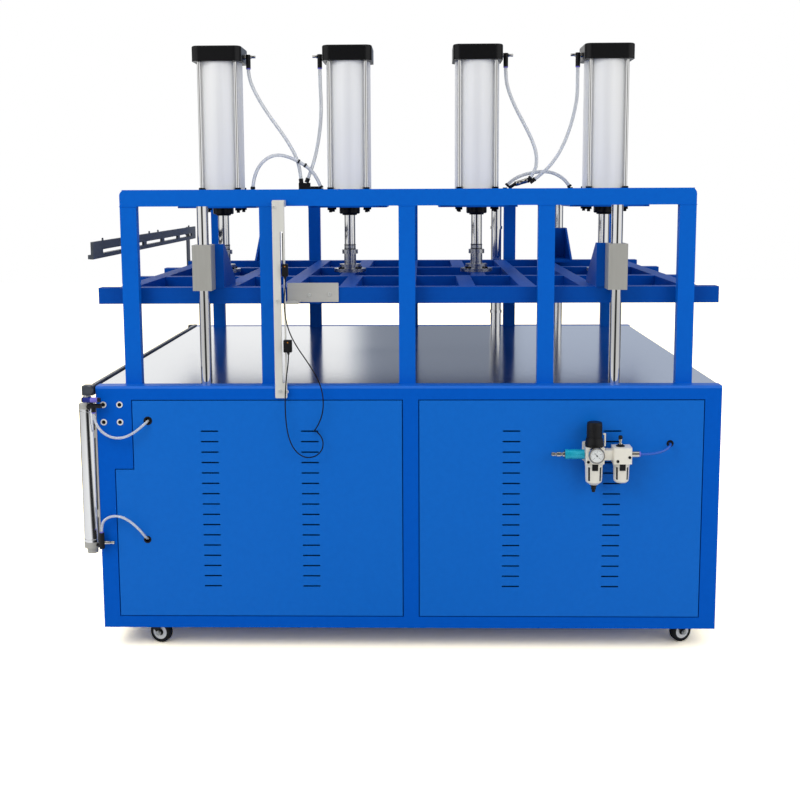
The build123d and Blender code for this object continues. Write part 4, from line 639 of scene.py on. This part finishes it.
# Polished stainless tube: a clear mirror, slightly darker than chrome
polished_stainless = finish(
    "polished_stainless_tube", "d6d7d8", {"Metallic": 1.0}, 1.2, (0.05, 0.1), 0.001, GROUND
)
dress(polished_stainless, "seal_cylinder_barrels")
dress(hard_chrome, "seal_cylinder_rods")
rolled_ends = []
for z in (360.0, 763.0):
    roll = ((24.4, z - 2), (25.4, z - 1), (25.4, z + 1), (24.4, z + 2))
    rolled_ends.append(turned(roll, [(x, y, 0) for x, y in SIDE_CYLINDERS], sides=48))
make("side_cylinder_rolled_ends", rolled_ends, polished_stainless, "machine")
rod_nuts = turned(ROD_NUT, [(x, y, ROD_NUT_Z) for x, y in SIDE_CYLINDERS], sides=6)
make("side_cylinder_rod_nuts", [rod_nuts], turned_steel, "lower_sealer")

# Air fittings: black nylon bodies on nickel-plated brass threads, with release rings where the tubes push in.
# Each elbow ends in a slotted brass adjusting screw, and the side cylinder's valve has a navy body and a
# lilac ring.
TO_RIGHT = (1, 0, 0)
FITTING_Z = 1908.0
ELBOW_OUTLET_Z = 1868.0
ELBOWS = ((-582.5, -596.5), (-323.5, -309.5), (347.5, 333.5), (606.5, 620.5))
THREAD = ((0, 0), (9.2, 0), (9.8, 0.6), (9.8, 4.4), (9.2, 5), (0, 5))
ADJUSTING_SCREW = ((0, 8), (6.4, 8), (6.4, 12), (4.9, 12.6), (4.9, 25), (4.2, 26.4), (0, 26.4))
RELEASE = ((6.4, 0), (8.4, 0), (8.4, 1.6), (7.6, 4), (6.4, 4), (6.4, 0))
# Where each tube leaves its tee, and the next point of its route
TEE_SOCKETS = (
    ((-398.0, 0.0, 1468.0), (-402.0, 2.0, 1511.0)),
    ((-373.0, 0.0, 1470.0), (-362.0, 0.0, 1498.0)),
    ((439.0, 0.0, 1471.0), (456.0, 0.0, 1495.0)),
    ((454.0, 0.0, 1465.0), (482.0, 0.0, 1486.0)),
    ((-571.0, -28.0, 1440.0), (-567.0, -28.0, 1476.0)),
    ((-323.0, -28.0, 1441.0), (-337.0, -28.0, 1476.0)),
    ((358.5, 30.0, 1445.5), (376.0, 30.0, 1463.0)),
    ((586.0, 30.0, 1441.0), (574.0, 30.0, 1458.0)),
)
SLEEVE_AXIS = (50.0, 0.0, 15.0)
SLEEVE_START = (388, 0, 1450.2)
SLEEVE = (
    (0, 0), (8.9, 0), (9.3, 1), (9.3, 12), (8.9, 13), (8.9, 28), (9.3, 29), (9.3, 42), (8.9, 43), (0, 43),
)
VALVE_BODY_AT = (-980.4, -850, 803)
VALVE_RING_AT = (-958, -850, 803)
UPPER_TUBE_AT = (-951, -846, 765)
LOWER_TUBE_AT = (-943, -838, 386)
VALVE_SCREW_AT = (-943, -838, 355)
VALVE_BODY = ((0, 0), (7.4, 0), (8.2, 1), (8.2, 21), (7.4, 22), (0, 22))
VALVE_RING = ((0, 0), (7.6, 0), (8, 1), (8, 21), (7.6, 22), (0, 22))
TUBE_RING = ((4.2, 0), (6.4, 0), (6.4, 2), (5.6, 4), (4.2, 4), (4.2, 0))
VALVE_SCREW = (
    (0, 10), (6.2, 10), (6.2, 14), (5.6, 15), (5.6, 24), (4.7, 26), (4.7, 32), (5.5, 33), (5.5, 39),
    (0, 39.6),
)
CLIPS = (((-404.5, -29.2, 1534.5), (1, 0.02, -0.5)), ((-381, -28.6, 1521), (1, 0, -0.62)))
CLIP = ((6.3, 0), (8.2, 0), (8.2, 6), (6.3, 6), (6.3, 0))
# Nickel-plated brass: bright with a warm cast
nickel_plate = finish("nickel_plated_brass", "c9c6bf", {"Metallic": 1.0}, 0.8, (0.14, 0.24))
# Lilac ring: moulded acetal, smooth and slightly waxy
lilac_ring = finish("lilac_release_ring", "6a62c4", {"Coat Weight": 0.2}, 1.0, (0.28, 0.42))
# Navy nylon: moulded, dull
navy_nylon = finish("navy_moulded_nylon", "16257a", {"Specular IOR Level": 0.3}, 0.9, (0.34, 0.46), 0.02)
threads = []
adjusting_screws = []
for leg, face in ELBOWS:
    away = (math.copysign(1.0, leg - face), 0, 0)
    threads.append(turned(THREAD, [(face, 0, FITTING_Z)], away, 6))
    adjusting_screws.append(turned(ADJUSTING_SCREW, [(leg, 0, FITTING_Z)], away, 24))
make("elbow_threads", threads, nickel_plate, "machine")
make("elbow_adjusting_screws", adjusting_screws, nickel_plate, "machine")
elbow_rings = turned(RELEASE, [(leg, 0, ELBOW_OUTLET_Z) for leg, face in ELBOWS], DOWN, 32)
make("elbow_release_rings", [elbow_rings], lilac_ring, "machine")
tee_rings = [turned(RELEASE, [end], np.subtract(behind, end), 32) for end, behind in TEE_SOCKETS]
make("tee_release_rings", tee_rings, black_nylon, "machine")
sleeve = turned(SLEEVE, [SLEEVE_START], SLEEVE_AXIS, 32)
make("right_tee_body", [sleeve], nickel_plate, "machine")
valve_body = turned(VALVE_BODY, [VALVE_BODY_AT], TO_RIGHT, 24)
make("side_valve_body", [valve_body], navy_nylon, "machine")
valve_screw = turned(VALVE_SCREW, [VALVE_SCREW_AT], TO_RIGHT, 24)
make("side_valve_screw", [valve_screw], nickel_plate, "machine")
valve_rings = [
    turned(VALVE_RING, [VALVE_RING_AT], TO_RIGHT, 24),
    turned(TUBE_RING, [UPPER_TUBE_AT], DOWN, 24),
    turned(TUBE_RING, [LOWER_TUBE_AT], sides=24),
]
make("side_valve_rings", valve_rings, lilac_ring, "machine")
clips = [turned(CLIP, [spot], along, 24) for spot, along in CLIPS]
make("hose_clips", clips, black_nylon, "machine")

# Panel hardware: two pairs of cap screws in pale washers on the left post, and a black rubber grommet in each
# hose hole. The grommets are pushed into the panel's sheet.
PANEL_FACE = -820.0
POST_SCREWS = [(x, PANEL_FACE, z) for x in (-928, -878) for z in (783, 729)]
WASHER = ((6, 0), (9.6, 0), (10, 0.4), (10, 1.8), (9.6, 2.2), (6, 2.2), (6, 0))
SUNK_SCREW = ((0, 0), (6, 0), (6, 1.6), (5.4, 2), (3, 2), (3, 0.6), (0, 0.6))
# The grommet's section: how far each point is out from the hole's edge, and how far in front of the panel
GROMMET = ((-3.4, -1.4), (1.2, -1.4), (1.8, 0), (1.2, 1.6), (-2.4, 1.8), (-3.4, 0.6), (-3.4, -1.4))
HOSE_HOLES = ((-793, 733, 11.5), (-806, 359, 10.0), (797.6, 662, 9.0))
# Black rubber: moulded, matt, almost without a highlight
rubber = finish("black_rubber", "0a0b0e", {"Specular IOR Level": 0.25}, 1.4, (0.5, 0.7), 0.05)
make("post_washers", [turned(WASHER, POST_SCREWS, TO_FRONT, 32)], pale_washer, "machine")
make("post_screws", [turned(SUNK_SCREW, POST_SCREWS, TO_FRONT, 24)], black_steel, "machine")
grommets = []
for x, z, hole in HOSE_HOLES:
    section = np.array(GROMMET) + (hole, 0)
    grommets.append(turned(section, [(x, PANEL_FACE, z)], TO_FRONT, 32))
make("panel_grommets", grommets, rubber, "machine")

# Air preparation unit: cream enamelled die-castings with metal bowl guards, joined by a clamped spacer. The
# guards are solid: faces in their slot rows are painted black, painted shade standing for the dark inside of
# the bowls seen through the slots. Each guard has a black latch. The knob is ribbed and stands on a black
# skirt.
UNIT_Y = -868.0
UNIT_TOP = 664.0
REGULATOR_X = 561.0
LUBRICATOR_X = 643.0
FILLER_X = LUBRICATOR_X - 4
PORT_Z = 640.0
NIPPLE_X = 433.0
COUPLER_X = 473.0
OUTLET_X = 695.0
PLUG_Y = UNIT_Y - 28
LEFT_GUARD = (
    (0, 615), (26.6, 615), (27, 613), (27, 606), (26.2, 604), (25, 562), (23.5, 556), (12, 547), (0, 547),
)
RIGHT_GUARD = (
    (0, 615), (24.6, 615), (25, 613), (25, 606), (24.2, 604), (23.2, 566), (21.5, 559), (17, 555), (0, 554),
)
GUARD_SIDES = 48
SLOT_BEARING = 40.0
SLOT_HALF = 8.0
SLOT_ROW = (580.0, 590.0)
DRAIN = ((0, 547), (9.5, 547), (9.5, 542), (7.5, 540), (7.5, 533), (5.5, 531), (5.5, 525), (4, 524), (0, 524))
LATCHES = ((REGULATOR_X, 27.0), (LUBRICATOR_X, 25.0))
LATCH_HALF = 8.8
LATCH_AHEAD = 2.6
LATCH_BEHIND = 6.0
LATCH_ROW = (595.0, 614.6)
KNOB_RIBS = 36
KNOB_RADIUS = 22.0
KNOB_FOOT = 692.0
RIB = ((0, 0), (1.1, 0), (1.1, 38), (0.4, 40), (0, 40))
SKIRT = (
    (23.4, 664.2), (27, 664.2), (27.6, 666), (27.2, 676), (25.2, 688), (24, 690.5), (23.4, 690.5),
    (23.4, 664.2),
)
COUPLER = (
    (0, 0), (13.8, 0), (15.2, 1.2), (15.2, 12), (14.3, 13), (14.3, 20), (15.2, 21), (15.2, 36), (14.6, 37.4),
    (14.6, 58), (13, 60), (0, 60),
)
NIPPLE = (
    (0, 0), (4.2, 0), (6.6, 2), (6.6, 8), (5.2, 9), (5.2, 14), (7.8, 16), (7.8, 27), (6, 28), (6, 33),
    (8.6, 34), (8.6, 40), (0, 40),
)
OUTLET_RING = ((4.2, 0), (8.4, 0), (8.4, 2.4), (7.2, 5), (4.2, 5), (4.2, 0))
PLUG = ((0, 0), (4.4, 0), (4.4, 1.8), (3.6, 2.4), (2, 2.4), (2, 1), (0, 1))
PLUGS = ((LUBRICATOR_X - 15, 624), (REGULATOR_X - 21, 622), (LUBRICATOR_X + 20, 636))
FOOT = ((0, UNIT_TOP), (13, UNIT_TOP), (13, 667), (8, 669), (8, 671), (0, 671))
STEM = ((0, 671), (6, 671), (6, 675), (4, 676), (4, 681), (5.4, 682), (5.4, 686), (0, 686))
CAP = ((0, 686), (5, 686), (6.4, 688), (6.4, 694), (4.6, 697), (0, 698))
HOOK_UPRIGHT = ((REGULATOR_X + 29, UNIT_Y - 3, UNIT_TOP), (REGULATOR_X + 34, UNIT_Y + 3, 704))
HOOK_TIP = ((REGULATOR_X + 25, UNIT_Y - 3, 699), (REGULATOR_X + 31, UNIT_Y + 3, 704))
# Cream enamel: baked on a die casting, satin and warm
cream_enamel = finish(
    "cream_enamelled_casting", "e9e5d8", {"Coat Weight": 0.1}, 2.0, (0.34, 0.48), 0.02, tint="e2ded1"
)
# Cyan-anodised coupler: dyed oxide on turned aluminium, clear in colour, with a soft metal shine
cyan_coupler = finish("cyan_anodised_coupler", "10a6c2", {"Metallic": 0.25}, 1.0, (0.22, 0.34))
dress(cream_enamel, "air_unit_body", "air_unit_bowls")
guards = [
    turned(LEFT_GUARD, [(REGULATOR_X, UNIT_Y, 0)], sides=GUARD_SIDES),
    turned(RIGHT_GUARD, [(LUBRICATOR_X, UNIT_Y, 0)], sides=GUARD_SIDES),
]
bowls = make("bowl_guards", guards, cream_enamel, "machine")
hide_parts("air_unit_bowls")
bowls.data.materials.append(black_nylon)
# Painted shade: faces of the guards in the slot rows take black nylon, standing for the dark inside seen
# through the slots.
middles = np.empty(3 * len(bowls.data.polygons))
bowls.data.polygons.foreach_get("center", middles)
middles = middles.reshape(-1, 3) * 1000.0 - CENTRE
from_bowl = np.where(middles[:, 0] < (REGULATOR_X + LUBRICATOR_X) / 2, REGULATOR_X, LUBRICATOR_X)
bearing = np.degrees(np.arctan2(middles[:, 0] - from_bowl, UNIT_Y - middles[:, 1]))
in_row = (middles[:, 2] > SLOT_ROW[0]) & (middles[:, 2] < SLOT_ROW[1])
slot_shade_faces = in_row & (abs(abs(bearing) - SLOT_BEARING) < SLOT_HALF)
bowls.data.polygons.foreach_set("material_index", slot_shade_faces.astype(int))
make("bowl_drain", [turned(DRAIN, [(REGULATOR_X, UNIT_Y, 0)])], black_nylon, "machine")
latches = []
for x, radius in LATCHES:
    front = UNIT_Y - radius
    lowest = (x - LATCH_HALF, front - LATCH_AHEAD, LATCH_ROW[0])
    highest = (x + LATCH_HALF, front + LATCH_BEHIND, LATCH_ROW[1])
    latches.append(boxes((lowest, highest)))
make("bowl_latches", latches, black_nylon, "machine", 0.9)
around = 2 * np.pi * np.arange(KNOB_RIBS) / KNOB_RIBS
rib_x = REGULATOR_X + KNOB_RADIUS * np.cos(around)
rib_y = UNIT_Y + KNOB_RADIUS * np.sin(around)
ribs = turned(RIB, np.column_stack((rib_x, rib_y, np.full(KNOB_RIBS, KNOB_FOOT))), sides=8)
make("knob_ribs", [ribs], black_nylon, "knob")
skirt = turned(SKIRT, [(REGULATOR_X, UNIT_Y, 0)], sides=48)
make("knob_skirt", [skirt], black_nylon, "machine")
coupler = turned(COUPLER, [(COUPLER_X, UNIT_Y, PORT_Z)], TO_RIGHT, 48)
make("inlet_coupler", [coupler], cyan_coupler, "machine")
dress(nickel_plate, "air_unit_couplings")
nipple = turned(NIPPLE, [(NIPPLE_X, UNIT_Y, PORT_Z)], TO_RIGHT, 32)
make("inlet_nipple", [nipple], nickel_plate, "machine")
outlet_ring = turned(OUTLET_RING, [(OUTLET_X, UNIT_Y, PORT_Z)], TO_RIGHT, 32)
make("outlet_release_ring", [outlet_ring], lilac_ring, "machine")
plugs = turned(PLUG, [(x, PLUG_Y, z) for x, z in PLUGS], TO_FRONT, 24)
make("unit_plugs", [plugs], black_nylon, "machine")
filler = [turned(FOOT, [(FILLER_X, UNIT_Y, 0)]), turned(CAP, [(FILLER_X, UNIT_Y, 0)])]
make("lubricator_filler", filler, black_nylon, "machine")
make("lubricator_stem", [turned(STEM, [(FILLER_X, UNIT_Y, 0)])], nickel_plate, "machine")
make("unit_hook", [boxes(HOOK_UPRIGHT), boxes(HOOK_TIP)], cream_enamel, "machine", 1.4)

# Pressure gauge: a pale printed dial in a nickel-plated bezel, screwed into the regulator. The dial has plain
# numbers, ticks and a needle.
GAUGE_FACE = -928.0
GAUGE_Z = 648.0
BEZEL_AHEAD = 1.4
PRINT_AHEAD = 0.4
NUMBERS_AHEAD = 0.45
NEEDLE_AHEAD = 0.9
BEZEL = ((19.6, 0), (23.2, 0), (24.0, -1.2), (24.0, -9), (22.9, -10.2), (22.9, -24), (19.6, -24), (19.6, 0))
DIAL = ((0, -1), (19.6, -1), (19.6, 0.2), (0, 0.2))
TICKS = 21
LONG_TICK = 13.2
SHORT_TICK = 15.2
TICK_END = 17.6
TICK_RADIUS = 0.32
FIRST_MARK = 225.0
SWEEP = 270.0
NUMBERS = ("0", "3", "6", "9", "12")
NUMBERS_AT = 10.2
NUMBER_HEIGHT = 4.2
NUMBER_RELIEF = 0.1
NEEDLE = ((0, -4), (0.9, -4), (0.35, 13), (0, 13))
NEEDLE_WAY = (-0.62, 0.0, 0.78)
HUB = ((0, 0), (2.2, 0), (2.2, 1), (0, 1.4))
# Printed dial: white enamel on sheet, even and slightly glossy
dial_white = finish("printed_dial", "dfe1e0", {"Coat Weight": 0.4}, 3.0, (0.3, 0.4), tint="d8dbda")
# Black ink: printed, matt
printed_black = finish("printed_black_ink", "222222", {}, 0.6, (0.5, 0.7))
dress(nickel_plate, "pressure_gauge")
bezel = turned(BEZEL, [(REGULATOR_X, GAUGE_FACE - BEZEL_AHEAD, GAUGE_Z)], TO_FRONT, 64)
make("gauge_bezel", [bezel], nickel_plate, "machine")
dial = turned(DIAL, [(REGULATOR_X, GAUGE_FACE, GAUGE_Z)], TO_FRONT, 64)
make("gauge_dial", [dial], dial_white, "machine")


def on_dial(radius, share):
    """The place on the dial at this radius and this share of the needle's sweep, which starts lower left."""
    angle = math.radians(FIRST_MARK - SWEEP * share)
    return REGULATOR_X + radius * math.cos(angle), GAUGE_Z + radius * math.sin(angle)


def number(text, x, z):
    """One dial number: lettering made a mesh, whose flat points (a, b, c) are set upright on the dial at
    (x + a, face - c, z + b)."""
    lettering = bpy.data.curves.new("dial_number", "FONT")
    lettering.body = text
    lettering.size = NUMBER_HEIGHT
    lettering.extrude = NUMBER_RELIEF
    lettering.align_x = "CENTER"
    lettering.align_y = "CENTER"
    holder = bpy.data.objects.new("dial_number", lettering)
    scene.collection.objects.link(holder)
    bpy.context.view_layer.update()
    mesh = bpy.data.meshes.new_from_object(holder.evaluated_get(bpy.context.evaluated_depsgraph_get()))
    bpy.data.objects.remove(holder)
    flat = np.empty(3 * len(mesh.vertices))
    mesh.vertices.foreach_get("co", flat)
    flat = flat.reshape(-1, 3)
    upright = np.column_stack((x + flat[:, 0], GAUGE_FACE - NUMBERS_AHEAD - flat[:, 2], z + flat[:, 1]))
    mesh.vertices.foreach_set("co", metres(upright).ravel())
    mesh.materials.clear()
    mesh.materials.append(printed_black)
    made = bpy.data.objects.new("dial_number_" + text, mesh)
    scene.collection.objects.link(made)
    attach(made, "machine")


marks = []
for tick in range(TICKS):
    share = tick / (TICKS - 1)
    start_x, start_z = on_dial(SHORT_TICK if tick % 5 else LONG_TICK, share)
    end_x, end_z = on_dial(TICK_END, share)
    along = np.array((end_x - start_x, 0.0, end_z - start_z))
    length = float(np.linalg.norm(along))
    line = ((0, 0), (TICK_RADIUS, 0), (TICK_RADIUS, length), (0, length))
    marks.append(turned(line, [(start_x, GAUGE_FACE - PRINT_AHEAD, start_z)], along, 6))
marks.append(turned(NEEDLE, [(REGULATOR_X, GAUGE_FACE - NEEDLE_AHEAD, GAUGE_Z)], NEEDLE_WAY, 8))
marks.append(turned(HUB, [(REGULATOR_X, GAUGE_FACE - PRINT_AHEAD, GAUGE_Z)], TO_FRONT, 20))
make("gauge_marks", marks, printed_black, "machine")
for place_in_row, text in enumerate(NUMBERS):
    number(text, *on_dial(NUMBERS_AT, place_in_row / (len(NUMBERS) - 1)))

# Casters: pressed black forks on zinc-plated plates, each plate held by four nuts. The wheels are black
# rubber with a pale shield over each bearing, and turn on an axle with a nut at both ends.
CASTERS = ((-818.0, -735.0, -16.0), (-818.0, 735.0, 12.0), (838.0, -735.0, 24.0), (838.0, 735.0, -8.0))
TRAIL = 30.0
WHEEL_Z = 35.0
CASTER_PLATE_BOTTOM = 101.0
SHIELD = ((11.2, 9.5), (23.6, 9.5), (23.6, 11.2), (21, 12.2), (14, 12.2), (11.2, 11.4), (11.2, 9.5))
AXLE_NUT = ((0, 18), (8.2, 18), (8.8, 18.6), (8.8, 23), (8.2, 23.6), (5, 23.6), (5, 26), (0, 26.4))
RACE = ((0, 0), (27, 0), (27.6, -0.8), (27.6, -5), (26.4, -6), (0, -6))
PLATE_NUT = ((0, 0), (6.4, 0), (7, -0.6), (7, -5), (6.4, -5.6), (0, -5.6))
# Zinc plate: dull bright steel with cloudy spangles some millimetres wide
zinc_plate = finish("zinc_plated_steel", "a9aba9", {"Metallic": 1.0}, 4.0, (0.26, 0.44), tint="9fa19f")
# Pale nylon: moulded, off-white and dull
pale_nylon = finish("pale_nylon_shield", "f4f4f2", {}, 1.2, (0.38, 0.52))
# Black enamel on pressed steel: satin, a shade paler than the castings
black_pressing = finish(
    "black_enamelled_pressing", "121213", {"Specular IOR Level": 0.25}, 1.4, (0.34, 0.48), 0.02
)
dress(zinc_plate, "caster_plates")
for which, (x, y, heading) in enumerate(CASTERS, start=1):
    dress(black_pressing, f"caster_fork_{which}")
    dress(rubber, f"caster_wheel_{which}")
    ahead = np.array((math.cos(math.radians(heading)), math.sin(math.radians(heading)), 0.0))
    beside = np.array((-ahead[1], ahead[0], 0.0))
    hub = np.array((x, y, WHEEL_Z)) + TRAIL * ahead
    shields = [turned(SHIELD, [hub], side * beside, 40) for side in (-1, 1)]
    make(f"wheel_shields_{which}", shields, pale_nylon, f"wheel_{which}")
    axle_nuts = [turned(AXLE_NUT, [hub], side * beside, 6) for side in (-1, 1)]
    make(f"axle_nuts_{which}", axle_nuts, zinc_plate, f"fork_{which}")
    race = turned(RACE, [(x, y, CASTER_PLATE_BOTTOM)], sides=40)
    make(f"swivel_race_{which}", [race], zinc_plate, f"fork_{which}")
NUTS_AT = ((-38, -25), (-38, 25), (38, -25), (38, 25))
plate_nuts = [(x + dx, y + dy, CASTER_PLATE_BOTTOM) for x, y, heading in CASTERS for dx, dy in NUTS_AT]
make("caster_plate_bolts", [turned(PLATE_NUT, plate_nuts, sides=6)], zinc_plate, "machine")
